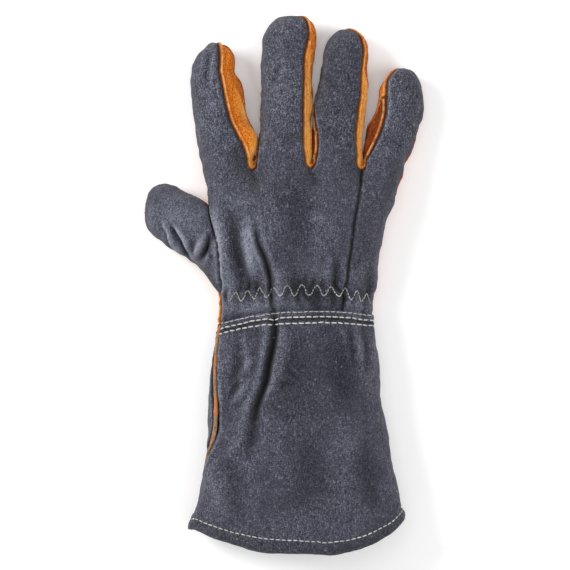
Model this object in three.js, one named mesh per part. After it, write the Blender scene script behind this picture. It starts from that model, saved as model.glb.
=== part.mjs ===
// Split leather gauntlet for a right hand, filled as if worn, lying on its palm.
// Millimetres. Fingers point along +Y, the back of the hand faces +Z, the thumb lies on the -X side.
// The work frame has x = 0 at the middle of the knuckles and y = 0 at the seam between hand and cuff.

import * as THREE from 'three';

// Leather and seams
const leather = 1.5;
const seamGap = 0.3;
const flattened = 1.2;
const fourchetteWidth = 17;

// Hand
const handLength = 100;
const handDepth = 37;
const wristWidth = 101;
const wristDepth = 33;
const wristShift = -5.3;
const fingerGap = 1.2;
const crotchDepth = 5.2;

// Cuff
const cuffLength = 134;
const mouthWidth = 139;
const mouthDepth = 47;
const hemArc = 20;
const hemTurn = 10;
const hemSlope = 7;
const hemFold = 8;
const jointArc = 6;
const jointSlope = 6;
const weltWidth = 2.6;
const weltProud = 1.1;

// Fingers
const indexLength = 76;
const indexWidth = 34;
const indexDepth = 28;
const middleLength = 94.6;
const middleWidth = 34;
const middleDepth = 28;
const ringLength = 84.9;
const ringWidth = 33;
const ringDepth = 27;
const littleLength = 59.6;
const littleWidth = 30;
const littleDepth = 25;

// Thumb
const thumbLength = 45;
const thumbWidth = 35;
const thumbDepth = 27;

// Each finger has its own length, width and depth. In the rows, at is a share of the length up to the
// start of the rounded tip, middle and half are shares of the width, and deep is a share of the depth.
// The angles are in degrees around the section from the little finger's side over the back: right and
// left are the two edges of the back leather. Tip is how far the end leans, as a share of the width.
const fingers = [
  {
    name: 'index', length: indexLength, width: indexWidth, depth: indexDepth,
    straight: 0.776, tip: 0.08, lift: 0.05,
    outer: 'left',
    rows: [
      { at: 0.00, middle: 0.000, half: 0.476, deep: 1.10, right: 46, left: 192 },
      { at: 0.15, middle: 0.005, half: 0.548, deep: 1.06, right: 62, left: 196 },
      { at: 0.32, middle: -0.038, half: 0.570, deep: 1.02, right: 72, left: 204 },
      { at: 0.49, middle: -0.133, half: 0.515, deep: 1.00, right: 72, left: 212 },
      { at: 0.67, middle: -0.176, half: 0.500, deep: 0.98, right: 75, left: 222 },
      { at: 0.85, middle: -0.214, half: 0.472, deep: 0.94, right: 76, left: 236 },
      { at: 1.00, middle: -0.248, half: 0.430, deep: 0.86, right: 70, left: 250 },
    ],
  },
  {
    name: 'middle', length: middleLength, width: middleWidth, depth: middleDepth,
    straight: 0.829, tip: 0.09, lift: 0.06,
    outer: 'none',
    rows: [
      { at: 0.00, middle: 0.000, half: 0.530, deep: 1.12, right: 36, left: 146 },
      { at: 0.11, middle: 0.040, half: 0.496, deep: 1.08, right: 38, left: 150 },
      { at: 0.24, middle: 0.052, half: 0.476, deep: 1.04, right: 41, left: 166 },
      { at: 0.44, middle: 0.062, half: 0.492, deep: 1.00, right: 45, left: 177 },
      { at: 0.64, middle: 0.095, half: 0.491, deep: 0.98, right: 49, left: 186 },
      { at: 0.83, middle: 0.110, half: 0.486, deep: 0.95, right: 50, left: 202 },
      { at: 1.00, middle: 0.124, half: 0.505, deep: 0.88, right: 46, left: 226 },
    ],
  },
  {
    name: 'ring', length: ringLength, width: ringWidth, depth: ringDepth,
    straight: 0.786, tip: 0.04, lift: 0.05,
    outer: 'none',
    rows: [
      { at: 0.00, middle: 0.000, half: 0.487, deep: 1.12, right: 37, left: 142 },
      { at: 0.13, middle: 0.008, half: 0.475, deep: 1.08, right: 37, left: 144 },
      { at: 0.28, middle: 0.018, half: 0.485, deep: 1.04, right: 42, left: 152 },
      { at: 0.44, middle: 0.038, half: 0.508, deep: 1.00, right: 41, left: 166 },
      { at: 0.63, middle: 0.082, half: 0.506, deep: 0.98, right: 41, left: 180 },
      { at: 0.82, middle: 0.126, half: 0.481, deep: 0.95, right: 44, left: 198 },
      { at: 1.00, middle: 0.180, half: 0.447, deep: 0.88, right: 44, left: 224 },
    ],
  },
  {
    name: 'little', length: littleLength, width: littleWidth, depth: littleDepth,
    straight: 0.696, tip: 0.01, lift: 0.04,
    outer: 'right',
    rows: [
      { at: 0.00, middle: 0.000, half: 0.450, deep: 1.12, right: 8, left: 136 },
      { at: 0.17, middle: 0.052, half: 0.508, deep: 1.08, right: 8, left: 122 },
      { at: 0.33, middle: 0.110, half: 0.546, deep: 1.04, right: 8, left: 117 },
      { at: 0.52, middle: 0.180, half: 0.545, deep: 1.00, right: 5, left: 114 },
      { at: 0.77, middle: 0.312, half: 0.497, deep: 0.98, right: -12, left: 123 },
      { at: 1.00, middle: 0.392, half: 0.481, deep: 0.90, right: -44, left: 136 },
    ],
  },
];

// Hand, from the knuckles (at 0) to the cuff (at 1). Left and right say how far each side lies on the
// way out from the wrist's edge to the knuckles' edge, and deep is a share of the hand's depth.
// Seam is the angle of the seam between back and palm on the thumb's side, and edge on the other side.
const handRows = [
  { at: 0.00, left: 1.00, right: 1.00, deep: 0.94, seam: 192, edge: 8 },
  { at: 0.08, left: 0.88, right: 0.89, deep: 0.97, seam: 191, edge: 6 },
  { at: 0.18, left: 0.69, right: 0.73, deep: 1.00, seam: 190, edge: 2 },
  { at: 0.29, left: 0.53, right: 0.57, deep: 1.02, seam: 187, edge: -3 },
  { at: 0.39, left: 0.72, right: 0.38, deep: 1.03, seam: 183, edge: -6 },
  { at: 0.49, left: 0.78, right: 0.25, deep: 1.03, seam: 181, edge: -8 },
  { at: 0.59, left: 0.69, right: 0.16, deep: 1.01, seam: 180, edge: -8 },
  { at: 0.69, left: 0.42, right: 0.09, deep: 0.97, seam: 178, edge: -8 },
  { at: 0.80, left: -0.04, right: 0.02, deep: 0.90, seam: 172, edge: -8 },
  { at: 0.88, left: -0.18, right: -0.09, deep: 0.86, seam: 164, edge: -8 },
  { at: 1.00, left: 0.00, right: 0.00, deep: 0.90, seam: 160, edge: -8 },
];

// Cuff, from the wrist (at 0) to the mouth (at 1). Left, right and deep say how far the section has
// grown from the wrist's size to the mouth's, and seam is the angle of its one seam.
const cuffRows = [
  { at: 0.00, left: 0.00, right: 0.00, deep: 0.00, seam: 167 },
  { at: 0.09, left: 0.10, right: 0.02, deep: 0.10, seam: 166 },
  { at: 0.21, left: 0.21, right: 0.10, deep: 0.24, seam: 161 },
  { at: 0.33, left: 0.29, right: 0.19, deep: 0.38, seam: 155 },
  { at: 0.45, left: 0.36, right: 0.26, deep: 0.52, seam: 151 },
  { at: 0.57, left: 0.38, right: 0.42, deep: 0.64, seam: 153 },
  { at: 0.68, left: 0.45, right: 0.60, deep: 0.75, seam: 161 },
  { at: 0.80, left: 0.58, right: 0.73, deep: 0.85, seam: 172 },
  { at: 0.92, left: 0.82, right: 0.90, deep: 0.95, seam: 180 },
  { at: 1.00, left: 1.00, right: 1.00, deep: 1.00, seam: 184 },
];

// Thumb, from its root in the hand (at 0) to the start of its rounded tip (at 1). The edges are the
// side towards the fingers (far) and the side towards the cuff (near): out is a share of the thumb's
// length away from the hand, up is a share of its width towards the fingers.
const thumbRows = [
  { at: 0.00, farOut: 0.05, farUp: 0.76, nearOut: -0.08, nearUp: -0.76, deep: 0.86 },
  { at: 0.20, farOut: 0.14, farUp: 0.82, nearOut: 0.10, nearUp: -0.55, deep: 1.02 },
  { at: 0.40, farOut: 0.27, farUp: 0.92, nearOut: 0.27, nearUp: -0.31, deep: 1.06 },
  { at: 0.60, farOut: 0.42, farUp: 1.02, nearOut: 0.45, nearUp: -0.13, deep: 1.04 },
  { at: 0.80, farOut: 0.56, farUp: 1.11, nearOut: 0.60, nearUp: 0.01, deep: 0.98 },
  { at: 1.00, farOut: 0.70, farUp: 1.17, nearOut: 0.77, nearUp: 0.17, deep: 0.88 },
];
const thumbRoot = { out: 0.575, up: 0.436 };
const thumbTip = { out: 0.27, up: 0.075 };
const thumbSeam = { right: 12, left: 192 };
const thumbHole = { from: 0.27, to: 0.83, lift: 33, drop: 30 };

// Folds of the upper side. x is a share of the wrist's width, y a share of the hand's length above the
// cuff seam and of the cuff's length below it, wide is a share of the wrist's width and deep of its depth.
const folds = [
  { x0: -0.313, y0: 0.585, x1: -0.210, y1: 0.170, wide: 0.035, deep: 0.060 },
  { x0: -0.483, y0: 0.690, x1: -0.387, y1: 0.215, wide: 0.050, deep: 0.065 },
  { x0: -0.573, y0: 0.533, x1: -0.656, y1: 0.371, wide: 0.045, deep: 0.080 },
  { x0: -0.177, y0: -0.070, x1: -0.310, y1: -0.443, wide: 0.070, deep: 0.120 },
];

// Share of each section's depth that lies below its side seams, and the roundness of the sections
const seamHeight = 0.46;
const handSquareness = 2.6;
const sharpestTurn = 0.2;

// Degrees by which the back's columns, and its seam with them, lean towards the thumb below the knuckles
const backLean = 14.5;

const fullTurn = 360;

// Grid counts
const backColumns = 6;
const webColumns = 4;
const sideColumns = 3;
const straightRows = 7;
const tipRows = 3;
const blendLength = 0.27;

const degrees = Math.PI / 180;

function mix(a, b, share) {
  return a + (b - a) * share;
}

function fade(share) {
  if (share >= 1) return 0;
  return 0.5 + 0.5 * Math.cos(Math.PI * Math.max(share, 0));
}

// Smooth curve through one column of a table
function smooth(rows, key, at) {
  const last = rows.length - 2;
  let i = 0;
  while (i < last && at > rows[i + 1].at) i += 1;
  const a = rows[i];
  const b = rows[i + 1];
  const before = rows[Math.max(i - 1, 0)];
  const after = rows[Math.min(i + 2, last + 1)];
  const span = b.at - a.at;
  const share = Math.min(Math.max((at - a.at) / span, 0), 1);
  const slopeA = ((b[key] - before[key]) / (b.at - before.at)) * span;
  const slopeB = ((after[key] - a[key]) / (after.at - a.at)) * span;
  const square = share * share;
  const cube = square * share;
  return (
    (2 * cube - 3 * square + 1) * a[key] +
    (cube - 2 * square + share) * slopeA +
    (3 * square - 2 * cube) * b[key] +
    (cube - square) * slopeB
  );
}

// Distance from a point to a fold line, and how strong the fold is there
function foldStrength(fold, x, y) {
  const lengthOf = (share) => share * (share > 0 ? handLength : cuffLength);
  const ax = fold.x0 * wristWidth;
  const ay = lengthOf(fold.y0);
  const dx = fold.x1 * wristWidth - ax;
  const dy = lengthOf(fold.y1) - ay;
  const along = ((x - ax) * dx + (y - ay) * dy) / (dx * dx + dy * dy);
  const inside = Math.min(Math.max(along, 0), 1);
  const away = Math.hypot(x - ax - dx * inside, y - ay - dy * inside);
  const width = fold.wide * wristWidth;
  return Math.exp(-(away * away) / (width * width));
}

// Presses the folds into the upper side and flattens what would lie below the table
function settle(point) {
  const upper = Math.min(Math.max((point.z / wristDepth - 0.5) / 0.25, 0), 1);
  let z = point.z;
  for (const fold of folds) {
    z -= fold.deep * wristDepth * upper * foldStrength(fold, point.x, point.y);
  }
  return new THREE.Vector3(point.x, point.y, Math.max(z, 0));
}

// Places of the fingers side by side along the knuckles
const baseWidths = fingers.map((finger) => 2 * finger.rows[0].half * finger.width);
const knuckleWidth = baseWidths.reduce((sum, width) => sum + width, 0) + 3 * fingerGap;
let edge = -knuckleWidth / 2;
fingers.forEach((finger, i) => {
  finger.x = edge + baseWidths[i] / 2;
  edge += baseWidths[i] + fingerGap;
});
const wristLeft = wristShift - wristWidth / 2;
const wristRight = wristShift + wristWidth / 2;

// One finger's section: its middle, its half width as a vector, and its heights above and below
function fingerSection(finger, v) {
  const deep = smooth(finger.rows, 'deep', v) * finger.depth;
  const bottom = -flattened + finger.lift * finger.depth * v * v * 2;
  return {
    middle: new THREE.Vector3(
      finger.x + smooth(finger.rows, 'middle', v) * finger.width,
      handLength + v * finger.straight * finger.length,
      bottom + seamHeight * deep,
    ),
    across: new THREE.Vector3(smooth(finger.rows, 'half', v) * finger.width, 0, 0),
    above: (1 - seamHeight) * deep,
    below: seamHeight * deep,
    tip: new THREE.Vector3(finger.tip * finger.width, (1 - finger.straight) * finger.length, 0),
  };
}

function thumbSection(v) {
  const value = (key) => smooth(thumbRows, key, v);
  const origin = new THREE.Vector3(-thumbRoot.out * wristWidth, thumbRoot.up * handLength, 0);
  const far = new THREE.Vector3(-value('farOut') * thumbLength, value('farUp') * thumbWidth, 0);
  const near = new THREE.Vector3(-value('nearOut') * thumbLength, value('nearUp') * thumbWidth, 0);
  const deep = value('deep') * thumbDepth;
  const middle = far.clone().add(near).multiplyScalar(0.5).add(origin);
  middle.z = -flattened + seamHeight * deep + (1 - v) * 0.08 * handDepth;
  return {
    middle,
    across: far.clone().sub(near).multiplyScalar(0.5),
    above: (1 - seamHeight) * deep,
    below: seamHeight * deep,
    tip: new THREE.Vector3(-thumbTip.out * thumbLength, thumbTip.up * thumbWidth, 0),
  };
}

// Point of a section from its place on a unit ball: x across, y towards the tip, z up
function sectionPoint(section, x, y, z) {
  const point = section.middle.clone();
  point.addScaledVector(section.across, x);
  point.addScaledVector(section.tip, y);
  point.z += z * (z > 0 ? section.above : section.below);
  return point;
}

// Point of the rounded tip: t runs around one half of it, and v from the section to the very end
function tipPoint(section, roll, t, v, side) {
  const u = Math.cos(Math.PI * t);
  const x = u * Math.sqrt(1 - (v * v) / 2);
  const y = v * Math.sqrt(1 - (u * u) / 2);
  const z = side * Math.sqrt(Math.max(1 - x * x - y * y, 0));
  const cosine = Math.cos(roll * degrees);
  const sine = Math.sin(roll * degrees);
  return sectionPoint(section, x * cosine - z * sine, y, x * sine + z * cosine);
}

// Angles of the four seams of a finger's section at v
function fingerSeams(finger, v) {
  const right = smooth(finger.rows, 'right', v);
  const left = smooth(finger.rows, 'left', v);
  const radius = (smooth(finger.rows, 'half', v) * finger.width + finger.depth / 2) / 2;
  const strip = (fourchetteWidth / radius / degrees) * Math.sqrt(Math.max(1 - v, 0));
  return {
    right,
    left,
    palmRight: finger.outer === 'right' ? right : right - strip,
    palmLeft: finger.outer === 'left' ? left : left + strip,
  };
}

function fingerPoint(finger, angle, v) {
  return sectionPoint(
    fingerSection(finger, v),
    Math.cos(angle * degrees),
    0,
    Math.sin(angle * degrees),
  );
}

// Back and palm of a finger: t runs from the left edge to the right edge on the back, and from the
// right edge to the left edge on the palm. Above v = 1 the point is on the rounded tip.
function fingerPanel(finger, side, t, v) {
  if (v > 1) {
    const section = fingerSection(finger, 1);
    const roll = smooth(finger.rows, 'right', 1);
    const around = side > 0 ? 1 - t : t;
    return tipPoint(section, roll, around, v - 1, side);
  }
  const seams = fingerSeams(finger, v);
  if (side > 0) return fingerPoint(finger, mix(seams.left, seams.right, t), v);
  return fingerPoint(finger, mix(seams.palmRight + fullTurn, seams.palmLeft, t), v);
}

// The web between two neighbouring fingers: s runs across from the palm's seam (0) to the back's
// seam (1), and turn runs around the crotch from the left finger (0) to the right finger (1)
function webPoint(i, s, turn) {
  const leftSeams = fingerSeams(fingers[i], 0);
  const rightSeams = fingerSeams(fingers[i + 1], 0);
  const a = fingerPoint(fingers[i], mix(leftSeams.palmRight, leftSeams.right, s), 0);
  const b = fingerPoint(fingers[i + 1], mix(rightSeams.palmLeft, rightSeams.left, s), 0);
  const middle = a.clone().add(b).multiplyScalar(0.5);
  const point = middle.clone();
  point.addScaledVector(a.clone().sub(middle), Math.cos(Math.PI * turn));
  point.y -= crotchDepth * Math.sin(Math.PI * turn);
  return point;
}

// A rounded, slightly squared section between two side edges
function roundedSection(left, right, bottom, deep, angle, squareness) {
  const power = 2 / squareness;
  const cosine = Math.cos(angle * degrees);
  const sine = Math.sin(angle * degrees);
  const across = Math.sign(cosine) * Math.abs(cosine) ** power;
  const up = Math.sign(sine) * Math.abs(sine) ** power;
  const height = (up > 0 ? 1 - seamHeight : seamHeight) * deep;
  return {
    x: mix(left, right, 0.5) + (across * (right - left)) / 2,
    z: bottom + seamHeight * deep + up * height,
  };
}

// The seam between hand and cuff rises over the middle and towards the little finger
function jointHeight(angle) {
  const sine = Math.sin(angle * degrees);
  return jointArc * (sine * sine - 0.5) + (jointSlope / 2) * Math.cos(angle * degrees);
}

function handOutline(angle, at) {
  const left = mix(wristLeft, -knuckleWidth / 2, smooth(handRows, 'left', at));
  const right = mix(wristRight, knuckleWidth / 2, smooth(handRows, 'right', at));
  const full = smooth(handRows, 'deep', at) * handDepth;
  const deep = mix(full, wristDepth, at * at * at);
  const section = roundedSection(left, right, -flattened, deep, angle, handSquareness);
  const y = handLength * (1 - at) + jointHeight(angle) * at * at;
  return new THREE.Vector3(section.x, y, section.z);
}

// Angle of the hand's outline that lies over or under a point of the knuckle row
function outlineAngle(point, digitAngle, side) {
  const share = Math.min(Math.max(point.x / (knuckleWidth / 2), -1), 1);
  const angle = Math.acos(Math.sign(share) * Math.abs(share) ** (handSquareness / 2)) / degrees;
  const beyond = side > 0 ? digitAngle > 180 || digitAngle < 0 : digitAngle > 0 && digitAngle < 180;
  const upper = side > 0 ? !beyond : beyond;
  return upper ? angle : -angle;
}

function holeShare(at) {
  const share = (at - thumbHole.from) / (thumbHole.to - thumbHole.from);
  if (share <= 0 || share >= 1) return 0;
  return Math.sin(Math.PI * share) ** 0.6;
}

// Angle of the hand's edge on the thumb's side, for the back (side 1) and the palm (side -1)
function thumbSideEdge(side, at) {
  const seam = smooth(handRows, 'seam', at);
  const lift = side > 0 ? -thumbHole.lift : thumbHole.drop;
  return seam + lift * holeShare(at);
}

// The columns of the hand continue the columns of the fingers and the webs. Each column starts at
// a point of the knuckle row and knows the angle at which it runs down the hand's outline.
function knuckleColumns(side) {
  const columns = [];
  fingers.forEach((finger, i) => {
    const seams = fingerSeams(finger, 0);
    const from = side > 0 ? seams.left : seams.palmLeft;
    const to = side > 0 ? seams.right : seams.palmRight + fullTurn;
    for (let j = 0; j <= backColumns; j += 1) {
      const digitAngle = mix(from, to, j / backColumns);
      columns.push({ point: fingerPoint(finger, digitAngle, 0), digitAngle: digitAngle % fullTurn });
    }
    if (i < fingers.length - 1) {
      for (let j = 1; j < webColumns; j += 1) {
        const point = webPoint(i, side > 0 ? 1 : 0, j / webColumns);
        columns.push({ point, digitAngle: side > 0 ? 90 : 270 });
      }
    }
  });
  for (const column of columns) {
    column.angle = outlineAngle(column.point, column.digitAngle, side);
    if (side > 0 && column.angle < -90) column.angle += fullTurn;
    if (side < 0 && column.angle > 90) column.angle -= fullTurn;
  }
  return columns;
}

// Point of one column of the hand: it leaves the knuckle row and settles onto the outline
function handPoint(columns, column, side, at) {
  const first = columns[0].angle;
  const last = columns[columns.length - 1].angle;
  const share = (column.angle - first) / (last - first);
  const firstHere = side > 0 ? thumbSideEdge(1, at) : thumbSideEdge(-1, at) - fullTurn;
  const lastHere = smooth(handRows, 'edge', at);
  const lean = side > 0 ? backLean * Math.sin(Math.PI * share) * (1 - fade(at / 0.4)) : 0;
  const held = fade(at / blendLength);
  const angle = mix(mix(firstHere, lastHere, share) + lean, column.angle, held);
  const offset = column.point.clone().sub(handOutline(column.angle, 0));
  return handOutline(angle, at).addScaledVector(offset, held);
}

// Thumb: the root follows the edge of its hole in the hand, and the rest its own sections
function thumbPoint(angle, v) {
  const x = Math.cos(angle * degrees);
  const z = Math.sin(angle * degrees);
  const own = sectionPoint(thumbSection(v), x, 0, z);
  const root = sectionPoint(thumbSection(0), x, 0, z);
  const at = mix(thumbHole.from, thumbHole.to, (1 - x) / 2);
  const rim = handOutline(thumbSideEdge(z >= 0 ? 1 : -1, at), at);
  return own.addScaledVector(rim.sub(root), fade(v / 0.5));
}

function thumbPanel(side, t, v) {
  if (v > 1) {
    const around = side > 0 ? 1 - t : t;
    return tipPoint(thumbSection(1), thumbSeam.right, around, v - 1, side);
  }
  if (side > 0) return thumbPoint(mix(thumbSeam.left, thumbSeam.right, t), v);
  return thumbPoint(mix(thumbSeam.right + fullTurn, thumbSeam.left, t), v);
}

// The mouth's edge is cut in an arc, front and behind, that is deepest towards the little finger, and
// it slopes down towards the thumb
function hemShare(angle) {
  const turn = Math.sin(angle * degrees) > 0 ? hemTurn : -hemTurn;
  const sine = Math.sin((angle + turn) * degrees);
  return sine * sine;
}

// Cuff: at runs from the joint (0) to the mouth (1)
function cuffPoint(angle, at) {
  const left = wristLeft + smooth(cuffRows, 'left', at) * (wristShift - mouthWidth / 2 - wristLeft);
  const right = wristRight + smooth(cuffRows, 'right', at) * (wristShift + mouthWidth / 2 - wristRight);
  const deep = mix(wristDepth, mouthDepth, smooth(cuffRows, 'deep', at));
  const section = roundedSection(left, right, -flattened, deep, angle, handSquareness);
  const slope = (hemSlope / 2) * Math.cos(angle * degrees);
  const mouth = slope - cuffLength - hemArc * hemShare(angle);
  return new THREE.Vector3(section.x, mix(jointHeight(angle), mouth, at), section.z);
}

// A sheet of leather before it has a thickness: shared points and the faces between them
class Sheet {
  constructor(name, colour) {
    this.name = name;
    this.colour = colour;
    this.points = [];
    this.extra = [];
    this.faces = [];
    this.keys = new Map();
  }

  point(position, extra = 0) {
    const settled = settle(position);
    const key = pointKey(settled);
    if (!this.keys.has(key)) {
      this.keys.set(key, this.points.length);
      this.points.push(settled);
      this.extra.push(extra);
    }
    return this.keys.get(key);
  }

  // Faces look outwards where turning from the column direction to the row direction does
  grid(rows, columns, place, extra = () => 0) {
    const ids = [];
    for (let i = 0; i < rows; i += 1) {
      ids.push([]);
      for (let j = 0; j < columns; j += 1) ids[i].push(this.point(place(i, j), extra(i, j)));
    }
    for (let i = 0; i + 1 < rows; i += 1) {
      for (let j = 0; j + 1 < columns; j += 1) {
        this.face([ids[i][j], ids[i][j + 1], ids[i + 1][j + 1], ids[i + 1][j]]);
      }
    }
  }

  face(corners) {
    const kept = corners.filter((id, i) => id !== corners[(i + 1) % corners.length]);
    if (kept.length < 3) return;
    for (let i = 1; i + 1 < kept.length; i += 1) this.faces.push([kept[0], kept[i], kept[i + 1]]);
  }
}

function pointKey(point) {
  return [point.x, point.y, point.z].map((value) => Math.round(value * 1000)).join(' ');
}

function faceNormal(sheet, face) {
  const [a, b, c] = face.map((id) => sheet.points[id]);
  return b.clone().sub(a).cross(c.clone().sub(a));
}

// Normals are shared by all sheets that meet in a point, so that walls at a seam stay side by side
function sharedNormals(sheets) {
  const sums = new Map();
  for (const sheet of sheets) {
    for (const face of sheet.faces) {
      const normal = faceNormal(sheet, face);
      for (const id of face) {
        const key = pointKey(sheet.points[id]);
        if (!sums.has(key)) sums.set(key, new THREE.Vector3());
        sums.get(key).add(normal);
      }
    }
  }
  return sums;
}

// Edges that belong to one face only, in the direction of that face
function borderEdges(sheet) {
  const seen = new Set();
  for (const face of sheet.faces) {
    face.forEach((id, i) => seen.add(`${id} ${face[(i + 1) % 3]}`));
  }
  const border = [];
  for (const edgeKey of seen) {
    const [a, b] = edgeKey.split(' ').map(Number);
    if (!seen.has(`${b} ${a}`)) border.push([a, b]);
  }
  return border;
}

// Draws each border point back from the seam line by half the seam's gap
function drawBack(sheet, border, normals) {
  const moves = new Map();
  for (const [a, b] of border) {
    const along = sheet.points[b].clone().sub(sheet.points[a]).normalize();
    for (const id of [a, b]) {
      const normal = normals[id];
      const inward = normal.clone().cross(along).normalize();
      if (!moves.has(id)) moves.set(id, []);
      moves.get(id).push(inward);
    }
  }
  const drawn = sheet.points.map((point) => point.clone());
  for (const [id, directions] of moves) {
    const sum = new THREE.Vector3();
    directions.forEach((direction) => sum.add(direction));
    sum.normalize();
    const slant = Math.max(sum.dot(directions[0]), sharpestTurn);
    drawn[id].addScaledVector(sum, seamGap / 2 / slant);
  }
  return drawn;
}

// Gives a sheet its leather thickness, inwards, and closes its edges
function thicken(sheet, sums) {
  const normals = sheet.points.map((point) => sums.get(pointKey(point)).clone().normalize());
  const border = borderEdges(sheet);
  const outer = drawBack(sheet, border, normals);
  const inner = outer.map((point, id) => {
    return point.clone().addScaledVector(normals[id], -leather - sheet.extra[id]);
  });
  const count = outer.length;
  const triangles = [];
  for (const [a, b, c] of sheet.faces) {
    triangles.push(a, b, c);
    triangles.push(a + count, c + count, b + count);
  }
  // Facing edges are split along the same diagonal, so that they stay parallel
  for (const [a, b] of border) {
    if (sheet.points[a].y < sheet.points[b].y) {
      triangles.push(b, a, a + count, b, a + count, b + count);
    } else {
      triangles.push(b, a, b + count, a, a + count, b + count);
    }
  }
  return closedMesh(sheet.name, sheet.colour, [...outer, ...inner], triangles);
}

function closedMesh(name, colour, points, triangles) {
  const geometry = new THREE.BufferGeometry().setFromPoints(points);
  geometry.setIndex(triangles);
  const material = new THREE.MeshStandardMaterial({ color: colour, roughness: 0.95, metalness: 0 });
  const mesh = new THREE.Mesh(geometry, material);
  mesh.name = name;
  return mesh;
}

// Closed body through rings of points, the first and last ring closed by a fan
function ringBody(name, colour, rings) {
  const size = rings[0].length;
  const triangles = [];
  for (let i = 0; i + 1 < rings.length; i += 1) {
    for (let j = 0; j < size; j += 1) {
      const a = i * size + j;
      const b = i * size + ((j + 1) % size);
      triangles.push(a, b, b + size, a, b + size, a + size);
    }
  }
  const end = (rings.length - 1) * size;
  for (let j = 1; j + 1 < size; j += 1) {
    triangles.push(0, j + 1, j);
    triangles.push(end, end + j, end + j + 1);
  }
  return closedMesh(name, colour, rings.flat(), triangles);
}

const grey = '#50525c';
const orange = '#c96f24';

// Stations along a finger: the straight part up to 1 and the rounded tip from 1 to 2
function stations() {
  const list = [];
  for (let i = 0; i <= straightRows; i += 1) list.push(i / straightRows);
  for (let i = 1; i <= tipRows; i += 1) list.push(1 + i / tipRows);
  return list;
}

const handStations = handRows.map((row) => row.at);
handStations.push(thumbHole.from, thumbHole.to, 0.95);
handStations.sort((a, b) => b - a);

function addFinger(sheet, finger, side) {
  const along = stations();
  sheet.grid(along.length, backColumns + 1, (i, j) => {
    return fingerPanel(finger, side, j / backColumns, along[i]);
  });
}

// Rows of the hand from the cuff up to the knuckles, for some of its columns
function addHand(sheet, columns, side, from, to) {
  const count = to - from + 1;
  sheet.grid(handStations.length, count, (i, j) => {
    const index = side > 0 ? from + j : to - j;
    return handPoint(columns, columns[index], side, handStations[i]);
  });
}

// The back is sewn from two pieces, with the seam running down from the last crotch
function backSheets() {
  const columns = knuckleColumns(1);
  const middleOfWeb = columns.length - backColumns - 1 - webColumns / 2;
  const main = new Sheet('back_panel_main', grey);
  addHand(main, columns, 1, 0, middleOfWeb);
  fingers.slice(0, 3).forEach((finger) => addFinger(main, finger, 1));
  const little = new Sheet('back_panel_little', grey);
  addHand(little, columns, 1, middleOfWeb, columns.length - 1);
  addFinger(little, fingers[3], 1);
  return [main, little];
}

function palmSheet() {
  const columns = knuckleColumns(-1);
  const sheet = new Sheet('palm_panel', orange);
  addHand(sheet, columns, -1, 0, columns.length - 1);
  fingers.forEach((finger) => addFinger(sheet, finger, -1));
  return sheet;
}

// A strip up the side of one finger, around the crotch and up the side of the next
function fourchetteSheet(i) {
  const left = fingers[i];
  const right = fingers[i + 1];
  const sheet = new Sheet(`fourchette_${left.name}_${right.name}`, orange);
  sheet.grid(straightRows + 1, sideColumns + 1, (row, j) => {
    const v = 1 - row / straightRows;
    const seams = fingerSeams(left, v);
    return fingerPoint(left, mix(seams.palmRight, seams.right, j / sideColumns), v);
  });
  sheet.grid(webColumns + 1, sideColumns + 1, (row, j) => {
    return webPoint(i, j / sideColumns, row / webColumns);
  });
  sheet.grid(straightRows + 1, sideColumns + 1, (row, j) => {
    const v = row / straightRows;
    const seams = fingerSeams(right, v);
    return fingerPoint(right, mix(seams.palmLeft, seams.left, j / sideColumns), v);
  });
  return sheet;
}

function thumbSheet(name, colour, side) {
  const sheet = new Sheet(name, colour);
  const along = stations();
  const columns = 8;
  sheet.grid(along.length, columns + 1, (i, j) => thumbPanel(side, j / columns, along[i]));
  return sheet;
}

// The cuff is one piece wrapped around, open at its seam, with the mouth's edge turned in
function cuffSheet() {
  const sheet = new Sheet('cuff', grey);
  const columns = 40;
  const fold = hemFold / cuffLength;
  const turnedIn = leather + seamGap;
  const rows = cuffRows.map((row) => row.at).filter((at) => at < 1 - 1.5 * fold);
  rows.push(1 - fold - 0.004, 1 - fold, 1);
  rows.reverse();
  sheet.grid(
    rows.length,
    columns + 1,
    (i, j) => {
      const seam = smooth(cuffRows, 'seam', rows[i]);
      const clear = (weltWidth / 2 + seamGap / 2) / (wristDepth / 2) / degrees;
      const angle = mix(seam - clear, seam - fullTurn + clear, j / columns);
      return cuffPoint(angle, rows[i]);
    },
    (i) => (i < 2 ? turnedIn : 0),
  );
  return sheet;
}

// The welt is a folded strip caught in the cuff's seam, standing a little proud of it
function cuffWelt() {
  const rings = [];
  const clearOfHand = weltWidth / 2 / cuffLength;
  for (const row of cuffRows) {
    const at = Math.max(row.at, clearOfHand);
    const seam = smooth(cuffRows, 'seam', at);
    const centre = cuffPoint(seam, at);
    const step = cuffPoint(seam - 1, at).sub(cuffPoint(seam + 1, at)).normalize();
    const along = cuffPoint(seam, Math.min(at + 0.01, 1)).sub(cuffPoint(seam, Math.max(at - 0.01, 0)));
    const across = step.addScaledVector(along.normalize(), -step.dot(along)).normalize();
    const out = along.clone().cross(across).normalize();
    const half = weltWidth / 2;
    const shape = [
      [-half, -leather], [half, -leather], [half, weltProud / 2],
      [half / 2, weltProud], [-half / 2, weltProud], [-half, weltProud / 2],
    ];
    rings.push(shape.map(([x, z]) => centre.clone().addScaledVector(across, x).addScaledVector(out, z)));
  }
  return ringBody('cuff_welt', orange, rings);
}

function glove() {
  const sheets = [
    ...backSheets(),
    palmSheet(),
    fourchetteSheet(0),
    fourchetteSheet(1),
    fourchetteSheet(2),
    thumbSheet('thumb_back', grey, 1),
    thumbSheet('thumb_front', orange, -1),
    cuffSheet(),
  ];
  const sums = sharedNormals(sheets);
  const group = new THREE.Group();
  sheets.forEach((sheet) => group.add(thicken(sheet, sums)));
  group.add(cuffWelt());
  return group;
}

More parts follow.
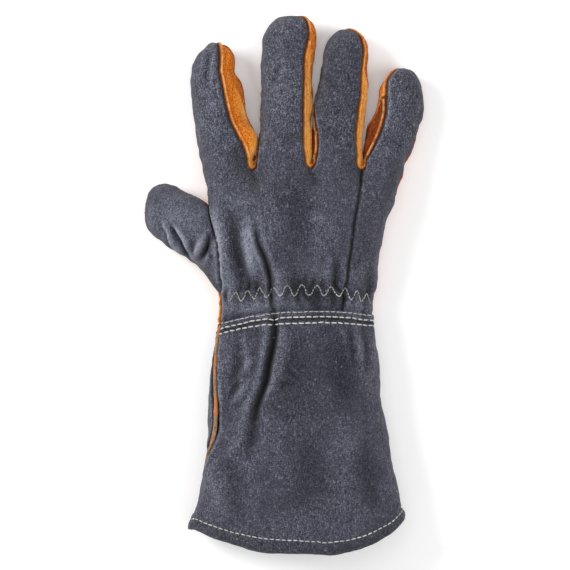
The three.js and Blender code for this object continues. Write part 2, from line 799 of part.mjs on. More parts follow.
// The origin is the middle of the underside of the glove's box
function centred(group) {
  group.updateMatrixWorld(true);
  const box = new THREE.Box3().setFromObject(group);
  const middle = box.getCenter(new THREE.Vector3());
  group.position.set(-middle.x, -middle.y, -box.min.z);
  group.updateMatrixWorld(true);
  return group;
}

export default centred(glove());
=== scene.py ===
"""The looks of a split leather gauntlet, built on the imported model's frame.

Sizes are worked out in millimetres and put into the meshes in metres. Fingers point along +Y, the
back of the hand faces +Z and the thumb lies on the -X side.
"""

import math

import bmesh
import bpy
import numpy as np
from mathutils import Matrix, Vector
from mathutils.bvhtree import BVHTree
from mathutils.kdtree import KDTree


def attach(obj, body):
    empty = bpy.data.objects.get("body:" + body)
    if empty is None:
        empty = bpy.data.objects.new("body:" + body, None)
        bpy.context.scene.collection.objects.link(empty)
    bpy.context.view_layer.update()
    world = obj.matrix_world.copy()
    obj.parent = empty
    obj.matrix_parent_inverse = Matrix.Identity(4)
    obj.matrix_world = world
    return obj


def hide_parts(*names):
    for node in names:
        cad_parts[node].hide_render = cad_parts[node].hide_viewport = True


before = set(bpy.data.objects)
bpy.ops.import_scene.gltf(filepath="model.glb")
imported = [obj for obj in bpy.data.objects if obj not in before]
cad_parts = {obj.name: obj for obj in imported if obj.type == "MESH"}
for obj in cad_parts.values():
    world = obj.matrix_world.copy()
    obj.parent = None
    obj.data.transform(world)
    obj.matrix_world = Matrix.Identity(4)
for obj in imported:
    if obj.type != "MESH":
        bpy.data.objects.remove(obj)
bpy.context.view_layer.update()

METRES = 0.001

# From the work frame, with the middle of the knuckles over the cuff's joint, to the model's frame
TO_MODEL = np.array([12.733, -20.524, 0.0])

# Leather and seams
LEATHER = 1.4
FLATTENED = 1.2
STRIP_WIDTH = 17
WELT_WIDTH = 2.6
WELT_PROUD = 1.25

# Hand and cuff
HAND_LENGTH = 100
HAND_DEPTH = 37
WRIST_WIDTH = 101
WRIST_DEPTH = 33
WRIST_SHIFT = -5.3
FINGER_GAP = 1.2
CROTCH_DEPTH = 5.2
CUFF_LENGTH = 134
MOUTH_WIDTH = 139
MOUTH_DEPTH = 47
HEM_ARC = 20
HEM_TURN = 11
HEM_SLOPE = 8.3
HEM_LIP = 1.5
HEM_INSIDE = 9
HEM_ROW = 8.0
HEM_RIDGE = 3.8
JOINT_ARC = 6
JOINT_SLOPE = 6
UNDER_LAP = 0.035
JOINT_ROW_EDGE = 0.9
JOINT_ROW_UPPER = 3.9
JOINT_ROW_LOWER = 7.0
JOINT_BAND = 5.4
WEB_BULGE = 9

THUMB_LENGTH = 45
THUMB_WIDTH = 35
THUMB_DEPTH = 27

SEAM_HEIGHT = 0.46
SQUARENESS = 2.6
BLEND_LENGTH = 0.27

# Distance in mm that stands for a seam that a panel doesn't have
FAR = 99.0

# Distances in mm: points that are sewn into one, panels that share a normal, how far that reaches
SEWN_WITHIN = 0.004
SHARED_WITHIN = 0.8
SHARED_REACH = 3.2
SMOOTHINGS = 10

# How finely the leather is laid out
FINGER_COLUMNS = 54
FINGER_PITCH = 0.95
TIP_ROWS = 20
THUMB_COLUMNS = 64
THUMB_ROWS = 62
THUMB_TIP_ROWS = 26
STRIP_COLUMNS = 26
STRIP_PITCH = 0.8
CROTCH_ROWS = 26
CUFF_COLUMNS = 286
CUFF_ROWS = 132
LIP_ROWS = 6
HEM_ROWS = 11
WEB_COLUMNS = 12
SPLIT_WEB_COLUMNS = 18
HAND_ROWS = 126
PALM_ROWS = 122


def mix(a, b, share):
    return a + (b - a) * share


def fade(share):
    return 0.5 + 0.5 * np.cos(np.pi * np.clip(share, 0, 1))


def step(low, high, value):
    share = np.clip((value - low) / (high - low), 0, 1)
    return share * share * (3 - 2 * share)


def hump(value, width):
    return np.exp(-((value / width) ** 2))


def cosine(angle):
    return np.cos(np.radians(angle))


def sine(angle):
    return np.sin(np.radians(angle))


def vector(x, y, z):
    return np.stack(np.broadcast_arrays(x, y, z), axis=-1).astype(float)


def length_of(vectors):
    return np.linalg.norm(vectors, axis=-1, keepdims=True)


def tightened(share, amount=0.55):
    """Lays shares closer together towards both ends."""
    return share - amount * np.sin(2 * np.pi * share) / (2 * np.pi)


class Rows:
    """A table of shares along a piece, each column of it read as a smooth curve."""

    def __init__(self, names, *rows):
        table = np.array(rows, float)
        self.at = table[:, 0]
        self.columns = {name: table[:, i + 1] for i, name in enumerate(names.split())}

    def read(self, name, at):
        at = np.asarray(at, float)
        values = self.columns[name]
        last = len(values) - 2
        i = np.clip(np.searchsorted(self.at, at, side="left") - 1, 0, last)
        before = np.maximum(i - 1, 0)
        after = np.minimum(i + 2, last + 1)
        span = self.at[i + 1] - self.at[i]
        share = np.clip((at - self.at[i]) / span, 0, 1)
        leaving = (values[i + 1] - values[before]) / (self.at[i + 1] - self.at[before]) * span
        arriving = (values[after] - values[i]) / (self.at[after] - self.at[i]) * span
        square = share * share
        cube = square * share
        return (
            (2 * cube - 3 * square + 1) * values[i]
            + (cube - 2 * square + share) * leaving
            + (3 * square - 2 * cube) * values[i + 1]
            + (cube - square) * arriving
        )


class Finger:
    """One finger: sizes in mm, and rows of share, middle, half width, depth and angles of the back seams.

    The shoulders say how much fuller than an ellipse its tip is on the left and on the right.
    """

    def __init__(self, name, length, width, depth, straight, tip, lift, outer, shoulders, *rows):
        self.name = name
        self.length = length
        self.width = width
        self.depth = depth
        self.straight = straight
        self.tip = tip
        self.lift = lift
        self.outer = outer
        self.shoulders = shoulders
        self.rows = Rows("middle half deep right left", *rows)
        self.x = 0.0


FINGERS = [
    Finger(
        "index", 76, 34, 28, 0.776, 0.06, 0.05, "left", (0.20, -0.08),
        (0.00, 0.000, 0.476, 1.10, 38, 192),
        (0.15, 0.015, 0.538, 1.06, 58, 196),
        (0.32, -0.038, 0.570, 1.02, 72, 204),
        (0.49, -0.142, 0.527, 1.00, 72, 212),
        (0.67, -0.184, 0.508, 0.98, 75, 222),
        (0.85, -0.230, 0.488, 0.94, 76, 236),
        (1.00, -0.300, 0.412, 0.86, 70, 250),
    ),
    Finger(
        "middle", 94.6, 34, 28, 0.829, 0.09, 0.06, "none", (0.20, 0.03),
        (0.00, 0.000, 0.530, 1.12, 36, 158),
        (0.11, 0.040, 0.496, 1.08, 42, 163),
        (0.24, 0.052, 0.476, 1.04, 45, 174),
        (0.44, 0.062, 0.492, 1.00, 49, 177),
        (0.64, 0.095, 0.491, 0.98, 51, 186),
        (0.83, 0.107, 0.490, 0.95, 51, 202),
        (1.00, 0.117, 0.512, 0.88, 47, 227),
    ),
    Finger(
        "ring", 84.9, 33, 27, 0.786, 0.04, 0.05, "none", (0.09, 0.04),
        (0.00, 0.000, 0.487, 1.12, 37, 148),
        (0.13, 0.008, 0.475, 1.08, 38, 145),
        (0.28, 0.018, 0.485, 1.04, 43, 146),
        (0.44, 0.038, 0.508, 1.00, 45, 158),
        (0.63, 0.092, 0.496, 0.98, 46, 176),
        (0.82, 0.134, 0.473, 0.95, 46, 198),
        (1.00, 0.180, 0.447, 0.88, 44, 224),
    ),
    Finger(
        "little", 59.6, 30, 25, 0.696, 0.01, 0.04, "right", (0.10, -0.03),
        (0.00, 0.000, 0.450, 1.12, 8, 148),
        (0.17, 0.052, 0.508, 1.08, 8, 130),
        (0.33, 0.102, 0.536, 1.04, 8, 119),
        (0.52, 0.170, 0.532, 1.00, 5, 114),
        (0.77, 0.312, 0.497, 0.98, -12, 123),
        (1.00, 0.392, 0.481, 0.90, -44, 136),
    ),
]

# Hand from the knuckles (0) to the cuff (1)
HAND = Rows(
    "left right deep seam edge lean",
    (0.00, 1.00, 1.00, 0.94, 192, 8, -8),
    (0.08, 0.88, 0.89, 0.97, 191, 6, -8),
    (0.18, 0.69, 0.73, 1.00, 190, 2, -3.5),
    (0.29, 0.53, 0.57, 1.02, 187, -3, 2),
    (0.39, 0.72, 0.38, 1.03, 183, -6, 3.9),
    (0.49, 0.78, 0.25, 1.03, 181, -8, 4.5),
    (0.59, 0.69, 0.16, 1.01, 180, -8, 4.5),
    (0.69, 0.42, 0.09, 0.97, 178, -8, 6.4),
    (0.80, -0.04, 0.02, 0.90, 173, -8, 9),
    (0.88, -0.18, -0.09, 0.86, 169, -8, 10),
    (1.00, 0.00, 0.00, 0.90, 166, -8, 15),
)

# Cuff from the joint (0) to the mouth (1)
CUFF = Rows(
    "left right deep seam",
    (0.00, 0.00, 0.00, 0.00, 163),
    (0.09, 0.10, 0.02, 0.10, 164),
    (0.21, 0.21, 0.085, 0.24, 161),
    (0.33, 0.29, 0.21, 0.38, 155),
    (0.45, 0.36, 0.26, 0.52, 151),
    (0.57, 0.35, 0.45, 0.64, 158),
    (0.68, 0.40, 0.61, 0.75, 177),
    (0.80, 0.57, 0.73, 0.85, 194),
    (0.92, 0.86, 0.90, 0.95, 200),
    (1.00, 1.00, 1.00, 1.00, 203),
)

# Thumb from its root (0) to the start of its rounded tip (1)
THUMB = Rows(
    "far_out far_up near_out near_up deep",
    (0.00, 0.05, 0.76, -0.08, -0.84, 0.86),
    (0.20, 0.14, 0.82, 0.09, -0.54, 1.02),
    (0.40, 0.27, 0.92, 0.26, -0.28, 1.06),
    (0.60, 0.42, 1.01, 0.45, -0.11, 1.04),
    (0.80, 0.56, 1.11, 0.60, 0.01, 0.98),
    (1.00, 0.70, 1.17, 0.77, 0.17, 0.88),
)
THUMB_ROOT = (0.575, 0.436)
THUMB_TIP = (0.27, 0.075)
THUMB_SEAM_LOWER = (199, 188)
THUMB_SEAM_UPPER = (14, -9)
HOLE_FROM = 0.30
HOLE_TO = 0.82
HOLE_LIFT = 33
HOLE_DROP = 30

# Places of the fingers along the knuckles
base_widths = [2 * finger.rows.read("half", 0) * finger.width for finger in FINGERS]
KNUCKLE_WIDTH = sum(base_widths) + 3 * FINGER_GAP
edge = -KNUCKLE_WIDTH / 2
for finger, width in zip(FINGERS, base_widths):
    finger.x = edge + width / 2
    edge += width + FINGER_GAP
WRIST_LEFT = WRIST_SHIFT - WRIST_WIDTH / 2
WRIST_RIGHT = WRIST_SHIFT + WRIST_WIDTH / 2


class Section:
    """A finger's or thumb's section: its middle, its half width and its heights above and below."""

    def __init__(self, middle, across, above, below, tip):
        self.middle = middle
        self.across = across
        self.above = above
        self.below = below
        self.tip = tip

    def point(self, x, y, z):
        place = self.middle + self.across * x[:, None] + self.tip * y[:, None]
        place[:, 2] += z * np.where(z > 0, self.above, self.below)
        return place

    def rounded(self, roll, t, v, side, fuller):
        """Point of the rounded tip, t around one half of it and v out to its very end."""
        u = np.cos(np.pi * t)
        x = u * np.sqrt(1 - v * v / 2)
        y = v * np.sqrt(1 - u * u / 2)
        z = side * np.sqrt(np.maximum(1 - x * x - y * y, 0))
        shoulder = 1 + (2 * x * y) ** 2 * mix(fuller[0], fuller[1], (x + 1) / 2)
        x = x * shoulder
        y = y * shoulder
        return self.point(x * cosine(roll) - z * sine(roll), y, x * sine(roll) + z * cosine(roll))


def finger_section(finger, v):
    deep = finger.rows.read("deep", v) * finger.depth
    bottom = -FLATTENED + finger.lift * finger.depth * v * v * 2
    middle_x = finger.x + finger.rows.read("middle", v) * finger.width
    middle_y = HAND_LENGTH + v * finger.straight * finger.length
    middle = vector(middle_x, middle_y, bottom + SEAM_HEIGHT * deep)
    across = vector(finger.rows.read("half", v) * finger.width, 0, 0)
    tip = vector(finger.tip * finger.width, (1 - finger.straight) * finger.length, 0 * v)
    return Section(middle, across, (1 - SEAM_HEIGHT) * deep, SEAM_HEIGHT * deep, tip)


def thumb_section(v):
    far_out = -THUMB.read("far_out", v) * THUMB_LENGTH
    far_up = THUMB.read("far_up", v) * THUMB_WIDTH
    near_out = -THUMB.read("near_out", v) * THUMB_LENGTH
    near_up = THUMB.read("near_up", v) * THUMB_WIDTH
    deep = THUMB.read("deep", v) * THUMB_DEPTH
    middle = vector(
        (far_out + near_out) / 2 - THUMB_ROOT[0] * WRIST_WIDTH,
        (far_up + near_up) / 2 + THUMB_ROOT[1] * HAND_LENGTH,
        -FLATTENED + SEAM_HEIGHT * deep + (1 - v) * 0.08 * HAND_DEPTH,
    )
    across = vector((far_out - near_out) / 2, (far_up - near_up) / 2, 0)
    tip = vector(-THUMB_TIP[0] * THUMB_LENGTH, THUMB_TIP[1] * THUMB_WIDTH, 0 * v)
    return Section(middle, across, (1 - SEAM_HEIGHT) * deep, SEAM_HEIGHT * deep, tip)


def finger_seams(finger, v):
    """Angles of the four seams of a finger: the back's right and left, the palm's right and left."""
    right = finger.rows.read("right", v)
    left = finger.rows.read("left", v)
    radius = (finger.rows.read("half", v) * finger.width + finger.depth / 2) / 2
    strip = np.degrees(STRIP_WIDTH / radius)
    narrowing = np.sqrt(np.maximum(1 - v, 0))
    palm_right = right if finger.outer == "right" else right - np.maximum(strip, right + 8) * narrowing
    palm_left = left if finger.outer == "left" else left + np.maximum(strip, 188 - left) * narrowing
    return right, left, palm_right, palm_left


def finger_point(finger, angle, v):
    return finger_section(finger, v).point(cosine(angle), 0 * v, sine(angle))


def finger_side(finger, side, t, v):
    right, left, palm_right, palm_left = finger_seams(finger, v)
    if side > 0:
        return finger_point(finger, mix(left, right, t), v)
    return finger_point(finger, mix(palm_right + 360, palm_left, t), v)


def finger_tip(finger, side, t, v):
    roll = finger.rows.read("right", 1)
    around = 1 - t if side > 0 else t
    return finger_section(finger, np.ones_like(v)).rounded(roll, around, v, side, finger.shoulders)


def web_point(i, s, turn):
    """Leather between two fingers: s from the palm's seam to the back's, turn around the crotch."""
    at = 0 * s
    right, _, palm_right, _ = finger_seams(FINGERS[i], at)
    _, left, _, palm_left = finger_seams(FINGERS[i + 1], at)
    a = finger_point(FINGERS[i], mix(palm_right, right, s), at)
    b = finger_point(FINGERS[i + 1], mix(palm_left, left, s), at)
    middle = (a + b) / 2
    point = middle + (a - middle) * np.cos(np.pi * turn)[:, None]
    point[:, 1] -= (CROTCH_DEPTH - WEB_BULGE * np.sin(np.pi * s) ** 2) * np.sin(np.pi * turn)
    return point


def rounded_section(left, right, deep, angle):
    power = 2 / SQUARENESS
    across = np.sign(cosine(angle)) * np.abs(cosine(angle)) ** power
    up = np.sign(sine(angle)) * np.abs(sine(angle)) ** power
    height = np.where(up > 0, 1 - SEAM_HEIGHT, SEAM_HEIGHT) * deep
    return (left + right) / 2 + across * (right - left) / 2, -FLATTENED + SEAM_HEIGHT * deep + up * height


def joint_height(angle):
    return JOINT_ARC * (sine(angle) ** 2 - 0.5) + JOINT_SLOPE / 2 * cosine(angle)


def hand_outline(angle, at):
    left = mix(WRIST_LEFT, -KNUCKLE_WIDTH / 2, HAND.read("left", at))
    right = mix(WRIST_RIGHT, KNUCKLE_WIDTH / 2, HAND.read("right", at))
    full = HAND.read("deep", at) * HAND_DEPTH
    deep = mix(full, WRIST_DEPTH, np.minimum(at, 1) ** 3)
    x, z = rounded_section(left, right, deep, angle)
    return vector(x, HAND_LENGTH * (1 - at) + joint_height(angle) * at * at, z)


def hole_opening(at):
    share = np.clip((at - HOLE_FROM) / (HOLE_TO - HOLE_FROM), 0, 1)
    return np.maximum(np.sin(np.pi * share), 0) ** 0.6


def thumb_side_edge(side, at):
    """Angle of the hand's edge on the thumb's side, which opens into the thumb's hole."""
    return HAND.read("seam", at) + (-HOLE_LIFT if side > 0 else HOLE_DROP) * hole_opening(at)


class Knuckles:
    """The row of points from which the hand's columns run down, and the angle that each runs at."""

    def __init__(self, side):
        self.side = side
        points = []
        digit = []
        ends = []
        for i, finger in enumerate(FINGERS):
            right, left, palm_right, palm_left = (float(a) for a in finger_seams(finger, np.float64(0)))
            first, last = (left, right) if side > 0 else (palm_left, palm_right + 360)
            angles = mix(first, last, tightened(np.linspace(0, 1, FINGER_COLUMNS + 1)))
            points.append(finger_point(finger, angles, 0 * angles))
            digit.append(angles % 360)
            ends.append(sum(len(part) for part in points) - 1)
            if i < len(FINGERS) - 1:
                turn = web_turns(i, side)[1:-1]
                points.append(web_point(i, np.full(len(turn), 1.0 if side > 0 else 0.0), turn))
                digit.append(np.full(len(turn), 90.0 if side > 0 else 270.0))
        self.point = np.concatenate(points)
        self.split = ends[2] + SPLIT_WEB_COLUMNS // 2
        digit = np.concatenate(digit)
        share = np.clip(self.point[:, 0] / (KNUCKLE_WIDTH / 2), -1, 1)
        angle = np.degrees(np.arccos(np.sign(share) * np.abs(share) ** (SQUARENESS / 2)))
        if side > 0:
            angle = np.where((digit >= 0) & (digit <= 180), angle, -angle)
            self.angle = np.where(angle < -90, angle + 360, angle)
        else:
            angle = np.where((digit > 0) & (digit < 180), angle, -angle)
            self.angle = np.where(angle > 90, angle - 360, angle)
        self.offset = self.point - hand_outline(self.angle, 0 * self.angle)

    def run_down(self, index, at):
        """Point of a column on its way from the knuckles onto the hand's outline."""
        share = (self.angle[index] - self.angle[0]) / (self.angle[-1] - self.angle[0])
        first = HAND.read("seam", at)
        if self.side > 0:
            moved = HAND.read("lean", at) * np.sin(np.pi * share)
            moved -= HOLE_LIFT * hole_opening(at) * (1 - share) ** 3
        else:
            first = first - 360
            moved = HOLE_DROP * hole_opening(at) * (1 - share) ** 2
        held = fade(at / BLEND_LENGTH)
        angle = mix(mix(first, HAND.read("edge", at), share) + moved, self.angle[index], held)
        return hand_outline(angle, at) + self.offset[index] * held[:, None]


def web_turns(i, side):
    """Steps around a crotch. The last one is closer together at its middle, where the back is sewn."""
    if i < 2 or side < 0:
        return np.linspace(0, 1, WEB_COLUMNS + 1)
    share = np.linspace(0, 1, SPLIT_WEB_COLUMNS + 1)
    return share + 0.62 * np.sin(2 * np.pi * share) / (2 * np.pi)


def thumb_point(angle, v):
    x = cosine(angle)
    z = sine(angle)
    own = thumb_section(v).point(x, 0 * v, z)
    root = thumb_section(0 * v).point(x, 0 * v, z)
    at = mix(HOLE_FROM, HOLE_TO, (1 - x) / 2)
    rim_angle = np.where(z >= 0, thumb_side_edge(1, at), thumb_side_edge(-1, at))
    rim = hand_outline(rim_angle, at)
    return own + (rim - root) * fade(v / 0.5)[:, None]


def thumb_side(side, t, v):
    lower = mix(*THUMB_SEAM_LOWER, v)
    upper = mix(*THUMB_SEAM_UPPER, v)
    if side > 0:
        return thumb_point(mix(lower, upper, t), v)
    return thumb_point(mix(upper + 360, lower, t), v)


def thumb_tip(side, t, v):
    around = 1 - t if side > 0 else t
    section = thumb_section(np.ones_like(v))
    reach = section.rounded(0, around, v, side, (0.0, 0.1))
    start = section.rounded(0, around, 0 * v, side, (0, 0))
    return reach + (thumb_side(side, t, np.ones_like(v)) - start) * ((1 - v) ** 2)[:, None]


def cuff_point(angle, at):
    mouth_left = WRIST_SHIFT - MOUTH_WIDTH / 2
    mouth_right = WRIST_SHIFT + MOUTH_WIDTH / 2
    left = mix(WRIST_LEFT, mouth_left, CUFF.read("left", at))
    right = mix(WRIST_RIGHT, mouth_right, CUFF.read("right", at))
    deep = mix(WRIST_DEPTH, MOUTH_DEPTH, CUFF.read("deep", at))
    x, z = rounded_section(left, right, deep, angle)
    turned = angle + np.where(sine(angle) > 0, HEM_TURN, -HEM_TURN)
    mouth = HEM_SLOPE / 2 * cosine(angle) - CUFF_LENGTH - HEM_ARC * sine(turned) ** 2
    return vector(x, mix(joint_height(angle), mouth, at), z)


def cuff_directions(angle, at):
    """Outwards from the cuff and along it towards the mouth."""
    around = cuff_point(angle - 0.5, at) - cuff_point(angle + 0.5, at)
    along = cuff_point(angle, np.minimum(at + 0.004, 1)) - cuff_point(angle, np.maximum(at - 0.004, 0))
    along = along / length_of(along)
    outward = np.cross(along, around)
    return outward / length_of(outward), along


# Folds of the upper side, on the model's x and y in mm. Each has its line, its width on the left and
# on the right of the line as it runs towards the cuff, and its depth. A ridge has a negative depth.
FOLDS = [
    # hand
    ([(-19.4, 37.7), (-17.2, 25.4), (-13.3, 16.7), (-9.1, 2.1), (-9.1, -5.0), (-8.0, -16)],
     1.3, 1.9, 2.3),
    ([(-36.6, 48.1), (-32.7, 33.8), (-29.5, 15.7), (-26.9, 0.8), (-26.0, -8)], 4.2, 4.2, 1.5),
    ([(-26.2, 38.4), (-25.6, 25.4), (-22.5, 12), (-19, 0)], 3.0, 3.0, -0.9),
    ([(33.4, 17.0), (33.0, 4.0), (32.0, -4)], 2.0, 2.0, 0.8),
    ([(-44.0, 48.0), (-42.2, 30), (-40.6, 14)], 2.4, 2.0, -0.8),
    ([(6, 62), (9, 40), (7, 22)], 9, 9, 0.7),
    ([(-30, 92), (-27, 80), (-20, 70)], 5, 5, 0.5),
    # cuff
    ([(-6.5, -17), (-5.5, -30), (-6.6, -39), (-9.2, -51), (-11.2, -63), (-13.9, -70), (-17.4, -79.4),
      (-18.6, -86)], 2.6, 1.3, 2.9),
    ([(-16.5, -74), (-20, -92), (-23.5, -112)], 3.4, 3.0, 1.15),
    ([(1.0, -26), (0.0, -40), (-3.4, -56), (-9.5, -72)], 3.2, 3.2, -0.8),
    ([(-24.7, -62.5), (-29.0, -70.5), (-35.4, -78.1)], 2.2, 2.2, -0.8),
    ([(-30.1, -37.8), (-32.3, -66.6), (-38.5, -84)], 3.4, 3.4, 0.8),
    ([(35, -30), (38, -55), (44, -80)], 7, 7, 0.8),
    ([(12, -95), (16, -115), (14, -140)], 8, 8, 0.5),
    ([(42.5, -27), (44, -40), (46, -56)], 1.8, 1.8, 0.8),
    ([(51, -30), (53, -45), (53, -60)], 1.6, 1.6, 0.7),
    ([(-20, -48), (-28, -58), (-37, -69)], 1.8, 1.8, -0.6),
    ([(-27, -34), (-24.5, -46), (-24, -58)], 2.0, 2.0, -0.6),
    ([(-40, -110), (-33, -130), (-30, -150)], 6, 6, 0.6),
    ([(52, -100), (54, -125), (58, -146)], 6, 6, 0.6),
    # thumb
    ([(-78.7, 39.7), (-75, 34), (-71.4, 24.6), (-65.4, 19.2)], 1.1, 1.1, -1.5),
    ([(-74.5, 37.1), (-66.7, 27.2), (-60.6, 15.9), (-55.7, 10.7)], 1.6, 1.2, 2.0),
    ([(-71, 37.1), (-64.2, 28.8), (-61.6, 20.5), (-56.4, 11.7)], 1.0, 1.1, -1.5),
    ([(-54, 28.8), (-56.2, 22), (-57.6, 18.0)], 1.7, 1.7, -1.6),
    ([(-47.0, 31.5), (-48.9, 26.2), (-53.3, 16.3)], 1.7, 1.9, 2.5),
    ([(-49.2, 20), (-52.3, 13.3)], 1.4, 1.4, -0.8),
    ([(-47.6, 21), (-47.1, 14.4)], 1.2, 1.2, 0.9),
    # fingers
    ([(-48.6, 150.3), (-49.5, 141.7), (-51.6, 127.2)], 1.5, 1.5, 0.5),
    ([(-45.9, 150.3), (-47.1, 136.9), (-46.5, 127.2)], 1.6, 1.6, -0.6),
    ([(-3.8, 142.8), (-5.6, 132.9), (-8.4, 127.1)], 1.6, 1.4, 0.5),
    ([(27, 134), (30, 128), (36, 126)], 1.8, 1.8, 0.5),
    ([(-40, 108), (-34, 104), (-27, 105)], 3, 3, 0.5),
    ([(-6, 96), (2, 93), (9, 95)], 3, 3, 0.4),
    ([(24, 100), (31, 96), (38, 97)], 3, 3, 0.4),
    ([(60, 92), (66, 95), (74, 92)], 3, 3, 0.4),
]

FOLD_STRENGTH = 1.6

# Patches where the nap is lighter, or darker below 0: x, y, half width, half length in mm, strength
TONE_PATCHES = [
    (-22.4, 24.8, 6, 16, 0.3), (-42, 25, 5, 30, 0.16), (-33, 53, 7, 6, 0.18), (20, 42, 5, 3, 0.26),
    (-50, 112, 7, 32, 0.14), (-45, 118, 5, 8, 0.12), (-2, 128, 13, 30, 0.17), (-74, 46, 14, 12, 0.12),
    (-64, 34, 26, 24, 0.2), (-44, -130, 10, 25, 0.1), (0, 66, 40, 14, -0.06), (11, -58, 28, 28, -0.27),
    (34, 118, 12, 25, -0.05), (-18, -14, 14, 5, 0.1), (20, -128, 40, 18, -0.12), (58, 25, 6, 40, 0.02),
    (72, 112, 10, 24, 0.09), (10, -15, 48, 4.5, 0.1),
]

# The elastic behind the back at the wrist: peaks and feet of its zigzag, on the model's x and y
ZIGZAG_PEAKS = [
    (-31.4, -5.9), (-23.7, -4.7), (-15.9, -3.0), (-6.8, -2.7), (1.6, -1.4),
    (11.3, -1.0), (21.1, -1.3), (30.1, -2.3), (39.2, -3.0), (47.0, -4.8), (53.4, -6.6),
]
ZIGZAG_FEET = [
    (-36.0, -10.8), (-28.2, -10.9), (-19.8, -10.0), (-12.0, -8.7), (-2.9, -8.0), (6.5, -7.7),
    (15.9, -7.4), (25.6, -7.7), (35.3, -8.4), (43.1, -10.3), (49.6, -11.3), (55.5, -12.4),
]


def elastic_line(x):
    return -4.7 - 3.5 * ((x - 4) / 40) ** 2


def swell(points, length, seed, stretch=(1, 1, 1), count=20):
    """A soft random swell of about unit height, with humps roughly a length apart."""
    chance = np.random.default_rng(seed)
    heading = chance.normal(size=(count, 3))
    heading /= length_of(heading)
    turns = 2 * np.pi / (length * chance.uniform(0.75, 1.45, count))
    phase = chance.uniform(0, 2 * np.pi, count)
    scaled = points / np.array(stretch, float)
    total = np.zeros(len(points))
    for direction, turn, start in zip(heading, turns, phase):
        total += np.sin(scaled @ direction * turn + start)
    return total * math.sqrt(2 / count)


def fold_depth(points, fold):
    """How deep a fold presses the leather in at each point. Leather heaps up a little beside it."""
    line, left, right, depth = fold
    nearest = np.full(len(points), 1e9)
    side = np.zeros(len(points))
    along = np.zeros(len(points))
    lengths = [math.dist(a, b) for a, b in zip(line, line[1:])]
    done = 0.0
    for (ax, ay), (bx, by), length in zip(line, line[1:], lengths):
        dx = (bx - ax) / length
        dy = (by - ay) / length
        px = points[:, 0] - ax
        py = points[:, 1] - ay
        share = np.clip(px * dx + py * dy, 0, length)
        away = np.hypot(px - dx * share, py - dy * share)
        closer = away < nearest
        nearest = np.where(closer, away, nearest)
        side = np.where(closer, px * dy - py * dx, side)
        along = np.where(closer, done + share, along)
        done += length
    width = mix(right, left, step(-0.6, 0.6, side / (left + right)))
    ends = np.sqrt(np.clip(np.sin(np.pi * np.clip(along / done, 0.02, 0.98)), 0, 1))
    return depth * ends * (hump(nearest, width) - 0.3 * hump(nearest - 2.3 * width, width))


def gathers(points):
    """Small upright pleats that the elastic draws at the wrist."""
    away = points[:, 1] - elastic_line(points[:, 0])
    drift = swell(points, 22, 71) * 1.6 + away * 0.16
    pleat = np.cos(2 * np.pi * (points[:, 0] + drift) / 6.4)
    uneven = 0.75 + 0.4 * swell(points, 15, 72)
    long_pleats = swell(points, 11, 73, stretch=(1, 3.2, 1))
    close = hump(away, 8.0)
    return 1.1 * pleat * uneven * close + 0.95 * long_pleats * hump(away - 2, 16) - 1.0 * hump(away, 5.5)


class Leather:
    """A panel of leather: grids laid on the glove's form and sewn together where they meet."""

    def __init__(self, name):
        self.name = name
        self.bm = bmesh.new()
        self.kind = self.bm.verts.layers.float.new("kind")
        self.loose = self.bm.verts.layers.float.new("loose")

    def patch(self, columns, rows, place, kind, loose=None):
        """Lays one grid. kind says which seam its edge would be, loose how far it is smoothed."""
        made = bmesh.ops.create_grid(self.bm, x_segments=columns, y_segments=rows, size=0.5)["verts"]
        share = np.array([vert.co[:2] for vert in made]) + 0.5
        u = np.clip(share[:, 0], 0, 1)
        v = np.clip(share[:, 1], 0, 1)
        points = place(u, v)
        kinds = np.broadcast_to(kind(u, v), u.shape).astype(float)
        slack = np.broadcast_to(loose(u, v) if loose else 0, u.shape).astype(float)
        for vert, point, one, two in zip(made, points.tolist(), kinds.tolist(), slack.tolist()):
            vert.co = point
            vert[self.kind] = one
            vert[self.loose] = two

    def sew(self):
        bmesh.ops.remove_doubles(self.bm, verts=self.bm.verts, dist=SEWN_WITHIN)
        bmesh.ops.dissolve_degenerate(self.bm, edges=self.bm.edges, dist=0.0005)
        rims = [edge for edge in self.bm.edges if edge.is_boundary]
        rim_verts = {vert for edge in rims for vert in edge.verts}
        slack = [vert for vert in self.bm.verts if vert[self.loose] > 0.5 and vert not in rim_verts]
        for _ in range(SMOOTHINGS):
            bmesh.ops.smooth_vert(
                self.bm, verts=slack, factor=0.5, use_axis_x=True, use_axis_y=True, use_axis_z=True
            )
        self.bm.normal_update()
        self.bm.verts.index_update()
        self.points = np.array([vert.co for vert in self.bm.verts]) + TO_MODEL
        self.normals = np.array([vert.normal for vert in self.bm.verts])
        self.rim = sorted({vert.index for vert in rim_verts})
        self.seams = {}
        for rim in rims:
            a, b = rim.verts
            ends = self.points[a.index], self.points[b.index]
            key = int(round(min(a[self.kind], b[self.kind])))
            between = self.seams.setdefault(key, [])
            for share in (0, 0.25, 0.5, 0.75):
                between.append(mix(ends[0], ends[1], share))

    def away_from(self, *keys):
        """Distance of each point of the panel from its edges of these kinds, in mm."""
        marks = [point for key in keys for point in self.seams.get(key, [])]
        if not marks:
            return np.full(len(self.points), FAR)
        return distances(tree_of(marks), self.points)


def tree_of(points):
    tree = KDTree(len(points))
    for i, point in enumerate(points):
        tree.insert(point, i)
    tree.balance()
    return tree


def distances(tree, points):
    return np.array([tree.find(point)[2] for point in points.tolist()])


